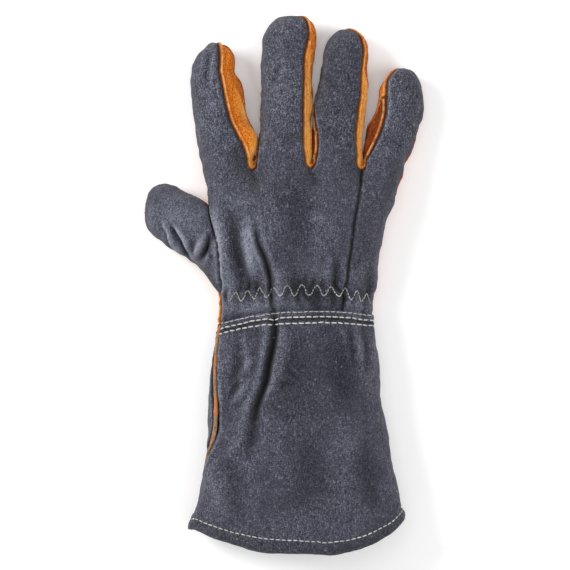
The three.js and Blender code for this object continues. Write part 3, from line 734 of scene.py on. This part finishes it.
def share_normals(panels):
    """Turns the normals beside each seam to the middle between those of the panels sewn there."""
    own = [panel.normals[panel.rim] for panel in panels]
    trees = [tree_of(panel.points[panel.rim].tolist()) for panel in panels]
    for panel, normals, rim_tree in zip(panels, own, trees):
        shared = normals.copy()
        for other, other_normals, tree in zip(panels, own, trees):
            if other is panel:
                continue
            for i, point in enumerate(panel.points[panel.rim].tolist()):
                _, found, away = tree.find(point)
                if away < SHARED_WITHIN:
                    shared[i] += other_normals[found]
        shared /= np.maximum(length_of(shared), 1e-6)
        nearest = [rim_tree.find(point)[1:] for point in panel.points.tolist()]
        index = np.array([found for found, _ in nearest])
        beside = fade(np.array([away for _, away in nearest]) / SHARED_REACH)[:, None]
        turned = mix(panel.normals, shared[index], beside)
        panel.normals = turned / length_of(turned)


# Kinds of a panel's edges
TURNED, JOINT, WELTED, HEM_END, RIDGED, PLAIN = range(1, 7)


def beside_seams(turned, ridged, plain):
    """Leather heaps up beside a seam and dips into it. A ridged one stands up as a narrow roll."""
    lift = 0.75 * hump(turned - 2.4, 2.6) - 1.0 * hump(turned, 1.0)
    lift += 0.95 * hump(ridged - 1.9, 1.05) - 0.35 * hump(ridged - 4.2, 1.4) - 0.7 * hump(ridged, 0.7)
    return lift - 0.3 * hump(plain, 0.8)


def cuff_lift(panel, lift, down, from_mouth, outer):
    """Adds the cuff's lap over the hand, its rows of stitches, its turned hem and its flare."""
    x = panel.points[:, 0]
    right, _, up = panel.normals.T
    lift = lift + 0.75 * step(11, 2, down) * step(1, 9, panel.away_from(WELTED))
    lift -= 1.5 * step(0.5, -0.1, up) * step(-20, -35, x) * step(48, 25, down) * outer
    lift += 0.7 * step(-0.4, -0.9, right) * step(60, 30, down) * outer
    lift -= 0.55 * hump(down - JOINT_ROW_UPPER, 0.8) + 0.55 * hump(down - JOINT_ROW_LOWER, 0.8)
    lift += 0.25 * hump(down - JOINT_BAND, 0.9)
    lift += 0.75 * hump(from_mouth - HEM_RIDGE, 2.8) - 0.75 * hump(from_mouth - HEM_ROW, 0.9)
    lift += 0.35 * swell(panel.points, 26, 31) * step(30, 0, from_mouth)
    lift *= 1 - 0.5 * step(5, 1, from_mouth)
    flare = 2.0 * step(0.45, 0.95, right) + 1.2 * step(-0.6, -0.95, right)
    return lift + flare * step(13, 2, from_mouth) * outer


def shaded_and_stained(panel, orange, strip, cuff, hand):
    """Where the leather is darker: painted shade on the strips' sides that face left and on orange leather
    turned away from above, and grease at the cuff's joint band and near its hem.
    """
    right, _, up = panel.normals.T
    if strip:
        # Painted shade on the sides of the strip that face left
        return step(0.0, -0.5, right)
    if cuff:
        down, from_mouth, _ = cuff
        return 0.85 * hump(down - JOINT_BAND, 1.2) + 0.3 * step(9.5, 7, from_mouth)
    if not orange:
        return 0 * up
    # Painted shade where the orange leather turns away from above, a little less near the cuff
    shade_and_stain = 0.6 * step(0.5, 0.0, up)
    return shade_and_stain * mix(0.85, 1, step(2, 12, panel.points[:, 1])) if hand else shade_and_stain


def dressed(panel, orange=False, strip=False, cuff=None, hand=False):
    """Moves a panel's points by everything that shapes real leather, and keeps what its finish needs."""
    points = panel.points
    x, y, _ = points.T
    right, _, up = panel.normals.T
    outer = cuff[2] if cuff else np.ones(len(points))

    folded = np.zeros(len(points))
    for fold in FOLDS:
        folded += fold_depth(points, fold)
    folded *= step(0.02, 0.55, up) * outer * FOLD_STRENGTH
    gathered = gathers(points) * step(0.1, 0.7, up) * outer * (0.3 if orange else 1)
    turned = panel.away_from(TURNED, WELTED)
    ridged = distances(ridge_tree, points) if orange else np.full(len(points), FAR)
    plain = panel.away_from(PLAIN)
    creases = hump(swell(points, 16, 14), 0.10) * step(0.2, 1.2, swell(points, 30, 15))
    pucker = swell(points, 4.6, 21) * np.exp(-np.minimum(turned, ridged) / 3.5)

    lift = 0.42 * swell(points, 40, 11) + 0.28 * swell(points, 18, 12) + 0.16 * swell(points, 8.5, 13)
    lift += gathered - folded - 0.3 * creases + 0.16 * pucker + beside_seams(turned, ridged, plain)
    if strip:
        lift += 1.5 * step(1.5, 6, np.minimum(plain, ridged)) * step(112, 92, y)
    elif orange and not hand:
        lift -= 1.1 * step(-66, -72, x) * hump(turned, 4.0)
    if hand:
        lift -= (LEATHER + 0.3) * step(7.5, 3.2, panel.away_from(JOINT))
        if orange:
            lift += 0.7 * step(-0.3, -0.9, right) * step(-25, -32, x) * step(-2, -14, y)
    if cuff:
        lift = cuff_lift(panel, lift, *cuff)
    moved = points + panel.normals * lift[:, None]
    moved[:, 2] = np.maximum(moved[:, 2], np.where(outer > 0.5, 0.0, LEATHER + 0.2))

    # Distance from the seams, which the finish turns into painted shade in the seam grooves; it is raised
    # to clear that shade along the hand's edge over the thumb and near the thumb's root
    seam = np.minimum(turned, ridged)
    over_thumb = np.zeros(len(points))
    if hand and not orange:
        over_thumb = step(-0.15, -0.45, right) * step(-16, -28, x) * step(52, 42, y)
        seam = seam + 3 * over_thumb
    if not (orange or hand or cuff):
        seam = seam + 2 * step(-66, -58, x) * step(34, 24, y)
    wear_and_highlight = np.zeros(len(points))
    for across, along, wide, long, strength in TONE_PATCHES:
        wear_and_highlight += strength * np.exp(-(((x - across) / wide) ** 2) - ((y - along) / long) ** 2)
    # Painted highlights: lighter leather beside the seams on edges that face left, along the hand's edge
    # over the thumb and on fold ridges
    wear_and_highlight = wear_and_highlight * step(0.02, 0.55, up) + 0.32 * hump(turned - 2.3, 1.0) * step(0.4, -0.3, right)
    wear_and_highlight += 1.3 * over_thumb * hump(turned - 0.6, 1.1) + 0.12 * np.maximum(-folded, 0)
    # Painted highlight on the strip's sides that face right
    if strip:
        wear_and_highlight += 0.9 * step(0.45, 0.95, right)
    # Lighter at the palm's lower left
    if orange and hand:
        wear_and_highlight += 0.6 * step(-20, -30, x) * step(12, 4, y)
    calm = 0.75 * step(-44, -56, x) * step(66, 58, y) * step(-10, 0, y)
    calm += 0.3 * step(34, 44, x) * step(88, 76, y) - 0.45 * step(88, 104, y)
    return moved, {
        "seam": seam,
        "ridged": ridged,
        # Painted shade in fold and gather valleys, painted highlight on their ridges
        "fold_shade": folded - 0.9 * gathered,
        "shade_and_stain": shaded_and_stained(panel, orange, strip, cuff, hand),
        "wear_and_highlight": wear_and_highlight,
        "calm": calm,
    }


def finished(name, bm, material, traits=None):
    """A piece from a finished bmesh, with what its material reads from its points."""
    mesh = bpy.data.meshes.new(name)
    bm.to_mesh(mesh)
    bm.free()
    for layer in ("kind", "loose"):
        if layer in mesh.attributes:
            mesh.attributes.remove(mesh.attributes[layer])
    for trait, values in (traits or {}).items():
        attribute = mesh.attributes.new(trait, "FLOAT", "POINT")
        values = np.broadcast_to(values, len(mesh.vertices))
        attribute.data.foreach_set("value", np.clip(values, -10, 20).astype(np.float32))
    mesh.shade_smooth()
    mesh.materials.append(material)
    piece = bpy.data.objects.new(name, mesh)
    bpy.context.scene.collection.objects.link(piece)
    return piece


def leather_piece(panel, moved, traits, material, node):
    for vert, point in zip(panel.bm.verts, (moved * METRES).tolist()):
        vert.co = point
    panel.bm.normal_update()
    piece = finished(panel.name, panel.bm, material, traits)
    wall = piece.modifiers.new("wall", "SOLIDIFY")
    wall.thickness = LEATHER * METRES
    wall.offset = -1
    wall.use_even_offset = False
    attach(piece, "root")
    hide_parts(node)


# Materials


class Value:
    """A number that changes over a surface. Sums on it become Math nodes."""

    def __init__(self, finish, socket):
        self.finish = finish
        self.socket = socket

    def math(self, operation, *others):
        node = self.finish.node("ShaderNodeMath", {"operation": operation}, self, *others)
        return Value(self.finish, node.outputs[0])

    def __add__(self, other):
        return self.math("ADD", other)

    __radd__ = __add__

    def __sub__(self, other):
        return self.math("SUBTRACT", other)

    def __rsub__(self, other):
        return self.math("MULTIPLY_ADD", -1, other)

    def __mul__(self, other):
        return self.math("MULTIPLY", other)

    __rmul__ = __mul__

    def between(self, low, high, out_low=0.0, out_high=1.0):
        node = self.finish.node(
            "ShaderNodeMapRange", {"interpolation_type": "SMOOTHSTEP"}, self, low, high, out_low, out_high
        )
        return Value(self.finish, node.outputs[0])

    def around(self, middle, width):
        """1 at the middle, fading to 0 at a width away from it."""
        return (self - middle).math("ABSOLUTE").between(0, width, 1, 0)


class Finish:
    """A material on the Principled shader, with one method for every other node."""

    def __init__(self, name):
        self.material = bpy.data.materials.new(name)
        self.material.use_nodes = True
        self.tree = self.material.node_tree
        self.shader = self.tree.nodes["Principled BSDF"]
        self.place = self.node("ShaderNodeTexCoord", {}).outputs["Object"]

    def node(self, kind, settings, *values, **named):
        node = self.tree.nodes.new(kind)
        for name, value in settings.items():
            setattr(node, name, value)
        inputs = [(node.inputs[i], value) for i, value in enumerate(values)]
        inputs += [(node.inputs[name], value) for name, value in named.items()]
        for socket, value in inputs:
            self.put(socket, value)
        return node

    def put(self, socket, value):
        if isinstance(value, Value):
            value = value.socket
        if isinstance(value, bpy.types.NodeSocket):
            self.tree.links.new(value, socket)
        else:
            socket.default_value = value

    def trait(self, name):
        node = self.node("ShaderNodeAttribute", {"attribute_name": name, "attribute_type": "GEOMETRY"})
        return Value(self, node.outputs["Fac"])

    def noise(self, size, detail, roughness, stretch=None, shift=0.0):
        """Noise whose patches are about a size in mm across."""
        place = self.place
        if stretch or shift:
            mapping = self.node("ShaderNodeMapping", {}, place)
            mapping.inputs["Location"].default_value = (shift, shift, shift)
            mapping.inputs["Scale"].default_value = stretch or (1, 1, 1)
            place = mapping.outputs[0]
        node = self.node(
            "ShaderNodeTexNoise", {"noise_dimensions": "3D"},
            Vector=place, Scale=1 / (size * METRES), Detail=detail, Roughness=roughness,
        )
        return Value(self, node.outputs[0])

    def colour(self, factor, a, b, blend="MIX"):
        node = self.node("ShaderNodeMix", {"data_type": "RGBA", "blend_type": blend})
        self.put(node.inputs[0], factor)
        self.put(node.inputs[6], a)
        self.put(node.inputs[7], b)
        return node.outputs[2]

    def bump(self, height, distance, strength):
        distance = distance * METRES
        node = self.node("ShaderNodeBump", {}, Strength=strength, Distance=distance, Height=height)
        return node.outputs[0]

    def set(self, **values):
        for name, value in values.items():
            self.put(self.shader.inputs[name.replace("_", " ")], value)


def tone(red, green, blue):
    """A colour from its 0 to 255 values on a screen."""
    shares = [value / 255 for value in (red, green, blue)]
    linear = [share / 12.92 if share < 0.04045 else ((share + 0.055) / 1.055) ** 2.4 for share in shares]
    return (*linear, 1.0)


def napped(name, deep, middle, light, dust_and_highlight, shaded_and_stained, sheen=0.05):
    """Split leather: short nap that lies in patches, with painted shade in its hollows and painted
    highlights on its ridges.
    """
    finish = Finish(name)
    patches = finish.noise(26, 2, 0.5)
    clouds = finish.noise(7.5, 3, 0.55, shift=0.31)
    flecks = finish.noise(1.7, 3, 0.65, shift=0.17)
    fibres = finish.noise(0.8, 3, 0.75, shift=0.05)
    strands = finish.noise(0.8, 2, 0.6, stretch=(1, 0.25, 1), shift=0.23)
    wear_and_highlight = finish.trait("wear_and_highlight")
    seam = finish.trait("seam")
    fold_shade = finish.trait("fold_shade")

    rough = (patches.between(0.35, 0.65, 0.8, 1.05) + wear_and_highlight * 0.4) * (1 - finish.trait("calm") * 0.5)
    nap = ((fibres - 0.5) * 2.8 + (flecks - 0.5) * 0.9 + (strands - 0.5) * 1.1) * rough
    # The wear trait adds lighter patches and painted highlights on lit edges, fold ridges and strip sides
    lie = (patches - 0.5) * 0.18 + (clouds - 0.5) * 0.32 + wear_and_highlight
    # Painted shade in fold valleys and painted highlight on fold ridges
    shade = nap + lie + 0.425 - fold_shade.between(-2.4, 4.6, -0.36, 0.66)
    base = finish.colour(shade.between(0.0, 0.5), deep, middle)
    base = finish.colour(shade.between(0.5, 1.0), base, light)
    # The palest tone shows dust and the painted highlights
    base = finish.colour(shade.between(0.95, 1.6), base, dust_and_highlight)
    # Multiplies in painted shade on the orange leather and grease stains on the cuff
    base = finish.colour(finish.trait("shade_and_stain"), base, shaded_and_stained, "MULTIPLY")
    # Painted shade in the seam grooves: darker close to a seam
    painted_groove_shade = seam.between(0.3, 2.1, 1, 0)
    base = finish.colour(painted_groove_shade * 0.85, base, (*(0.4 * part for part in deep[:3]), 1))
    specks = finish.noise(3.4, 1, 0.5, shift=0.7).between(0.73, 0.79)
    finish.result = finish.colour(specks * 0.3, base, dust_and_highlight)
    height = nap * 0.42 + (clouds - 0.5) * 0.5
    finish.set(Base_Color=finish.result, Roughness=fibres.between(0.3, 0.7, 0.86, 1.0))
    finish.set(Normal=finish.bump(height, 0.6, 0.9))
    finish.set(Specular_IOR_Level=0.12, Sheen_Weight=sheen, Sheen_Roughness=0.55)
    return finish


grey = napped(
    "grey_split_leather",
    tone(28, 29, 35), tone(60, 61, 72), tone(108, 110, 124), tone(150, 152, 162), tone(150, 140, 122),
    sheen=0.14,
)
orange = napped(
    "orange_split_leather",
    tone(140, 56, 6), tone(204, 106, 21), tone(236, 146, 50), tone(250, 184, 98), tone(148, 122, 88),
)
# Painted highlight: the orange just beside a raised seam edge is lighter, broken up in patches
highlight_breakup = orange.noise(3.2, 2, 0.5).between(0.3, 0.65, 0.25, 1)
painted_ridge_highlight = orange.trait("ridged").around(1.5, 0.95) * highlight_breakup
orange.set(Base_Color=orange.colour(painted_ridge_highlight * 0.6, orange.result, tone(250, 190, 122)))

welt_leather = napped(
    "welt_leather",
    tone(104, 74, 50), tone(150, 116, 88), tone(184, 152, 124), tone(200, 172, 146), tone(200, 200, 200),
)
worn_through = welt_leather.noise(14, 2, 0.5, shift=0.5).between(0.5, 0.62)
welt_colour = welt_leather.colour(worn_through * 0.6, welt_leather.result, tone(196, 108, 44))
welt_leather.set(Base_Color=welt_colour)


def thread_finish(name, shadow, body, light):
    finish = Finish(name)
    twist = finish.noise(0.5, 2, 0.6)
    wear_and_highlight = finish.noise(9, 2, 0.5, shift=0.4)
    base = finish.colour(twist.between(0.3, 0.7), shadow, body)
    base = finish.colour(wear_and_highlight.between(0.45, 0.75) * 0.6, base, light)
    finish.set(Base_Color=base, Roughness=0.8)
    finish.set(Normal=finish.bump(twist, 0.12, 0.8))
    finish.set(Specular_IOR_Level=0.3, Sheen_Weight=0.1)
    return finish.material


cream_thread = thread_finish("cream_thread", tone(150, 150, 146), tone(216, 217, 213), tone(238, 238, 235))
worn_thread = thread_finish("worn_thread", tone(110, 111, 110), tone(172, 173, 170), tone(206, 207, 204))


# Panels


def sewn_edge(u, v):
    return TURNED


def near_tip(u, v):
    return v < 0.3


def lay_finger(panel, finger, side):
    rows = int(finger.straight * finger.length / FINGER_PITCH)

    def straight(u, v):
        return finger_side(finger, side, tightened(u), v)

    def tip(u, v):
        return finger_tip(finger, side, tightened(u), np.sin(np.pi / 2 * v))

    def straight_edge(u, v):
        plain = ((finger.outer != "right") & (u < 0.5)) | ((finger.outer != "left") & (u > 0.5))
        return np.where(plain & (side < 0), PLAIN, TURNED)

    def tip_edge(u, v):
        return TURNED if side > 0 else RIDGED

    panel.patch(FINGER_COLUMNS, rows, straight, straight_edge, lambda u, v: (v < 0.1) | (v > 0.9))
    panel.patch(FINGER_COLUMNS, TIP_ROWS, tip, tip_edge, near_tip)


def lay_hand(panel, knuckles, first, last, rows=HAND_ROWS):
    count = last - first

    def place(u, v):
        index = np.rint(u * count).astype(int)
        index = first + index if knuckles.side > 0 else last - index
        at = tightened(1 - v, 0.45) * (1 + UNDER_LAP)
        return knuckles.run_down(index, at)

    def kind(u, v):
        return np.where(v < 1e-4, JOINT, TURNED)

    panel.patch(count, rows, place, kind, lambda u, v: v > 0.92)


back_knuckles = Knuckles(1)
back_main = Leather("back_leather_main")
lay_hand(back_main, back_knuckles, 0, back_knuckles.split)
for finger in FINGERS[:3]:
    lay_finger(back_main, finger, 1)
back_main.sew()

back_little = Leather("back_leather_little")
lay_hand(back_little, back_knuckles, back_knuckles.split, len(back_knuckles.point) - 1)
lay_finger(back_little, FINGERS[3], 1)
back_little.sew()

palm_knuckles = Knuckles(-1)
palm = Leather("palm_leather")
lay_hand(palm, palm_knuckles, 0, len(palm_knuckles.point) - 1, PALM_ROWS)
for finger in FINGERS:
    lay_finger(palm, finger, -1)
palm.sew()


def side_strip(i):
    """A strip up one finger, around the crotch and up the next, with a raised edge along the back."""
    left = FINGERS[i]
    right = FINGERS[i + 1]
    panel = Leather(f"side_strip_{left.name}_{right.name}")

    def across(u):
        return u + 0.35 * np.sin(np.pi * u) / np.pi

    def kind(u, v):
        return np.where(u > 0.97, RIDGED, PLAIN)

    def down_left(u, v):
        at = 1 - v * v
        right_seam, _, palm_right, _ = finger_seams(left, at)
        return finger_point(left, mix(palm_right, right_seam, across(u)), at)

    def crotch(u, v):
        return web_point(i, across(u), v)

    def up_right(u, v):
        w = 1 - (1 - v) ** 2
        _, left_seam, _, palm_left = finger_seams(right, w)
        return finger_point(right, mix(palm_left, left_seam, across(u)), w)

    def rows(finger):
        return int(finger.straight * finger.length / STRIP_PITCH)

    panel.patch(STRIP_COLUMNS, rows(left), down_left, kind, lambda u, v: v > 0.9)
    panel.patch(STRIP_COLUMNS, CROTCH_ROWS, crotch, kind, lambda u, v: 1)
    panel.patch(STRIP_COLUMNS, rows(right), up_right, kind, lambda u, v: v < 0.1)
    panel.sew()
    return panel


strips = [side_strip(i) for i in range(3)]


def thumb_panel(name, side):
    panel = Leather(name)

    def straight(u, v):
        return thumb_side(side, tightened(u), tightened(v, 0.4))

    def tip(u, v):
        return thumb_tip(side, tightened(u), np.sin(np.pi / 2 * v))

    panel.patch(THUMB_COLUMNS, THUMB_ROWS, straight, sewn_edge, lambda u, v: v > 0.9)
    panel.patch(THUMB_COLUMNS, THUMB_TIP_ROWS, tip, sewn_edge, near_tip)
    panel.sew()
    return panel


thumb_back = thumb_panel("thumb_leather_back", 1)
thumb_front = thumb_panel("thumb_leather_front", -1)

LIP_AT = 1 - HEM_LIP / (CUFF_LENGTH + HEM_ARC / 2)


def cuff_angle(u, at):
    seam = CUFF.read("seam", at)
    clear = np.degrees((WELT_WIDTH / 2 - 0.3) / (WRIST_DEPTH / 2))
    return mix(seam - clear, seam - 360 + clear, tightened(u, 0.25))


def hem_narrowing(x):
    """How much nearer the mouth the hem is stitched, on the little finger's side."""
    return 1 + 0.12 * step(0, 30, x) + 0.13 * step(62, 76, x)


def cuff_outside(u, v):
    share = 1 - v
    at = LIP_AT * mix(share, share ** 1.45, 0.65)
    return cuff_point(cuff_angle(u, at), at)


def cuff_lip(u, v):
    at = np.full(np.shape(u), LIP_AT)
    angle = cuff_angle(u, at)
    outward, along = cuff_directions(angle, at)
    turn = 180 * (1 - v)
    centre = cuff_point(angle, at) - outward * HEM_LIP
    return centre + HEM_LIP * (outward * cosine(turn)[:, None] + along * sine(turn)[:, None])


def cuff_inside(u, v):
    at = LIP_AT - (1 - v) * HEM_INSIDE / CUFF_LENGTH
    angle = cuff_angle(u, at)
    outward, _ = cuff_directions(angle, at)
    return cuff_point(angle, at) - outward * 2 * HEM_LIP


cuff = Leather("cuff_leather")
cuff.patch(CUFF_COLUMNS, HEM_ROWS, cuff_inside, lambda u, v: np.where(v < 0.01, HEM_END, WELTED))
cuff.patch(CUFF_COLUMNS, LIP_ROWS, cuff_lip, lambda u, v: WELTED)
cuff.patch(CUFF_COLUMNS, CUFF_ROWS, cuff_outside, lambda u, v: np.where(v > 0.9999, JOINT, WELTED))
cuff.sew()

from_joint = cuff.away_from(JOINT)
mouth_angles = np.linspace(0, 360, 1400)
mouth_line = cuff_point(mouth_angles, np.ones_like(mouth_angles)) + TO_MODEL
from_mouth = distances(tree_of(mouth_line.tolist()), cuff.points) * hem_narrowing(cuff.points[:, 0])

# The hem is turned in, so its inner leaf faces the cuff's own axis
CUFF_AXIS = np.array([7.4, 0, 20])
from_axis = (cuff.points - CUFF_AXIS) * cuff.normals
outside = (from_axis[:, 0] + from_axis[:, 2] > 0).astype(float)

share_normals([back_main, back_little, palm, *strips, thumb_back, thumb_front])

ridge_tree = tree_of([point for panel in (palm, *strips) for point in panel.seams[RIDGED]])

ORANGE_STRIP = {"orange": True, "strip": True}
shapes = {}
for panel, node, finish, slot, ways in [
    (back_main, "back_panel_main", grey, "grey_leather", {"hand": True}),
    (back_little, "back_panel_little", grey, "grey_leather", {"hand": True}),
    (palm, "palm_panel", orange, "orange_leather", {"orange": True, "hand": True}),
    (strips[0], "fourchette_index_middle", orange, "orange_leather", ORANGE_STRIP),
    (strips[1], "fourchette_middle_ring", orange, "orange_leather", ORANGE_STRIP),
    (strips[2], "fourchette_ring_little", orange, "orange_leather", ORANGE_STRIP),
    (thumb_back, "thumb_back", grey, "grey_leather", {}),
    (thumb_front, "thumb_front", orange, "orange_leather", {"orange": True}),
    (cuff, "cuff", grey, "grey_leather", {"cuff": (from_joint, from_mouth, outside)}),
]:
    moved, traits = dressed(panel, **ways)
    shapes[node] = (moved, [[vert.index for vert in face.verts] for face in panel.bm.faces])
    leather_piece(panel, moved, traits, finish.material, node)


def surface_of(*nodes):
    """A search tree over the finished outer surface of some pieces, in mm."""
    points = []
    faces = []
    for node in nodes:
        moved, own = shapes[node]
        start = len(points)
        points += moved.tolist()
        faces += [[start + i for i in face] for face in own]
    return BVHTree.FromPolygons(points, faces)


def welt():
    """The folded strip that is caught in the cuff's seam, thick inside the seam and proud outside it."""
    bm = bmesh.new()
    made = bmesh.ops.create_grid(bm, x_segments=14, y_segments=190, size=0.5)["verts"]
    share = np.clip(np.array([vert.co[:2] for vert in made]) + 0.5, 0, 1)
    at = mix(0.004, LIP_AT + 0.006, share[:, 1])
    seam = CUFF.read("seam", at)
    centre = cuff_point(seam, at)
    outward, along = cuff_directions(seam, at)
    across = np.cross(outward, along)
    turn = 360 * share[:, 0]
    half = WELT_WIDTH / 2
    wide = half * (1 + 0.07 * swell(centre, 7, 41))
    proud = WELT_PROUD * (1 + 0.12 * swell(centre, 9, 42))
    x = np.sign(cosine(turn)) * np.abs(cosine(turn)) ** 0.8 * wide
    z = np.where(sine(turn) > 0, sine(turn) * proud, sine(turn) * half)
    closing = np.sqrt(np.clip(1 - (np.abs(share[:, 1] - 0.5) * 2) ** 60, 0, 1))
    points = centre + across * (x * closing)[:, None] + outward * (z * closing)[:, None]
    points += TO_MODEL
    for fold in FOLDS:
        points[:, 2] -= FOLD_STRENGTH * fold_depth(points, fold) * step(0.02, 0.55, outward[:, 2])
    points[:, 2] = np.maximum(points[:, 2], 0)
    for vert, point in zip(made, (points * METRES).tolist()):
        vert.co = point
    bmesh.ops.remove_doubles(bm, verts=bm.verts, dist=2e-6)
    bmesh.ops.recalc_face_normals(bm, faces=bm.faces)
    traits = {"seam": 9, "ridged": 9, "fold_shade": 0, "shade_and_stain": 0, "wear_and_highlight": 0, "calm": 0}
    piece = finished("cuff_welt_leather", bm, welt_leather.material, traits)
    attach(piece, "root")
    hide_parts("cuff_welt")


welt()

# Stitches


def spaced(path, pitch):
    """Points at an even pitch along a path, with the direction of the path there."""
    path = np.array(path)
    steps = np.linalg.norm(np.diff(path, axis=0), axis=1)
    run = np.concatenate([[0], np.cumsum(steps)])
    count = max(int(round(run[-1] / pitch)), 1)
    places = (np.arange(count) + 0.5) * run[-1] / count
    centre = np.stack([np.interp(places, run, path[:, k]) for k in range(3)], axis=1)
    ahead = np.stack([np.interp(places + pitch * 0.3, run, path[:, k]) for k in range(3)], axis=1)
    behind = np.stack([np.interp(places - pitch * 0.3, run, path[:, k]) for k in range(3)], axis=1)
    return centre, ahead - behind


def stitch_row(name, stitches, length, width, material, seed):
    """Thread that shows as short raised stitches, each with its ends down in its needle holes."""
    chance = np.random.default_rng(seed)
    bm = bmesh.new()
    for centre, direction, normal in stitches:
        along = Vector(direction).normalized()
        out = Vector(normal)
        out = (out - along * out.dot(along)).normalized()
        across = out.cross(along)
        along = (along + across * chance.normal(0, 0.05)).normalized()
        across = out.cross(along)
        scale = Matrix.Diagonal((length * chance.uniform(0.92, 1.06) / 2, width / 2, width * 0.55, 1))
        turned = Matrix((along, across, out)).transposed().to_4x4()
        place = Matrix.Translation(Vector(centre) + out * width * chance.uniform(0.02, 0.12))
        grown = Matrix.Scale(METRES, 4) @ place @ turned @ scale
        bmesh.ops.create_uvsphere(bm, u_segments=8, v_segments=7, radius=1, matrix=grown)
    piece = finished(name, bm, material)
    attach(piece, "root")


cuff_surface = surface_of("cuff")
hand_surface = surface_of("back_panel_main", "back_panel_little")

AROUND = np.linspace(0.004, 0.996, 700)


def on_cuff(points):
    """The points of the cuff's finished surface that are nearest to these of the work frame."""
    return [cuff_surface.find_nearest(point)[0] for point in (points + TO_MODEL).tolist()]


def joint_row(offset):
    """A line around the cuff on its leather, at a distance in mm from the joint."""
    at = np.full_like(AROUND, offset / CUFF_LENGTH)
    return on_cuff(cuff_point(cuff_angle(AROUND, at), at))


def hem_row(offset):
    """A line along the hem. It is searched from 1 mm outside, so as to meet the hem's outer leaf."""
    at = np.full_like(AROUND, 1 - offset / (CUFF_LENGTH + HEM_ARC * 0.6))
    angle = cuff_angle(AROUND, at)
    at = 1 - (1 - at) / hem_narrowing(cuff_point(angle, at)[:, 0] + TO_MODEL[0])
    outward, _ = cuff_directions(angle, at)
    return on_cuff(cuff_point(angle, at) + outward)


def sewn(path, pitch):
    """Places of the stitches along a path on the cuff, with the path's direction and the normal there."""
    stitches = []
    for centre, direction in zip(*spaced(path, pitch)):
        place, normal, _, _ = cuff_surface.find_nearest(Vector(centre))
        stitches.append((place, direction, normal))
    return stitches


for name, path, pitch, length, width, seed in [
    ("joint_stitches_upper", joint_row(JOINT_ROW_UPPER), 4.3, 3.9, 1.0, 2),
    ("joint_stitches_lower", joint_row(JOINT_ROW_LOWER), 4.3, 3.9, 1.0, 3),
    ("joint_stitches_edge", joint_row(JOINT_ROW_EDGE), 3.6, 3.6, 0.5, 4),
    ("hem_stitches", hem_row(HEM_ROW), 3.8, 3.25, 0.68, 5),
]:
    stitch_row(name, sewn(path, pitch), length, width, cream_thread, seed)


def zigzag():
    """Places of the stitches over the elastic. Here and there a stitch is worn away."""
    chance = np.random.default_rng(8)
    corners = [ZIGZAG_FEET[0]]
    for peak, foot in zip(ZIGZAG_PEAKS, ZIGZAG_FEET[1:]):
        corners += [peak, foot]
    stitches = []
    for (ax, ay), (bx, by) in zip(corners, corners[1:]):
        for share in (0.1, 0.3, 0.5, 0.7, 0.9):
            x = mix(ax, bx, share) + chance.normal(0, 0.16)
            y = mix(ay, by, 0.5 - 0.5 * math.cos(math.pi * share)) + chance.normal(0, 0.14)
            place, normal, _, _ = hand_surface.ray_cast(Vector((x, y, 120)), Vector((0, 0, -1)))
            if place is None or chance.uniform() < 0.05:
                continue
            steep = math.pi / 2 * math.sin(math.pi * share)
            stitches.append((place, (bx - ax, (by - ay) * steep, 0), normal))
    return stitches


stitch_row("elastic_stitches", zigzag(), 2.0, 0.74, worn_thread, 6)

# Floor, light and camera


def floor():
    bm = bmesh.new()
    just_under = Matrix.Translation((0, 0, -0.0004))
    bmesh.ops.create_grid(bm, x_segments=1, y_segments=1, size=3.0, matrix=just_under)
    finish = Finish("pale_floor")
    finish.set(Base_Color=(0.93, 0.93, 0.93, 1), Roughness=0.9, Specular_IOR_Level=0.0)
    finish.set(Emission_Color=(1, 1, 1, 1), Emission_Strength=0.14)
    ground = finished("floor", bm, finish.material)


floor()


LIT = Vector((0, 0, 0.02))


def lamp(name, place, size, power):
    light = bpy.data.lights.new(name, "AREA")
    light.shape = "DISK"
    light.size = size
    light.energy = power
    holder = bpy.data.objects.new(name, light)
    holder.location = place
    holder.rotation_euler = (LIT - Vector(place)).to_track_quat("-Z", "Y").to_euler()
    bpy.context.scene.collection.objects.link(holder)


lamp("key", (-1.35, 0.6, 1.05), 1.0, 27)
lamp("fill", (1.2, -0.3, 1.3), 1.3, 15)
lamp("overhead", (0.0, 0.2, 2.2), 1.6, 10)

world = bpy.data.worlds.new("studio")
world.use_nodes = True
world.node_tree.nodes["Background"].inputs["Color"].default_value = (1, 1, 1, 1)
world.node_tree.nodes["Background"].inputs["Strength"].default_value = 0.36
bpy.context.scene.world = world

camera = bpy.data.cameras.new("camera")
camera.angle = 0.1237
camera_holder = bpy.data.objects.new("camera", camera)
camera_holder.location = (0.0003, -0.0009, 3.0)
camera_holder.rotation_euler = (0, 0, 0)
bpy.context.scene.collection.objects.link(camera_holder)
bpy.context.scene.camera = camera_holder
bpy.context.scene.view_settings.view_transform = "Standard"
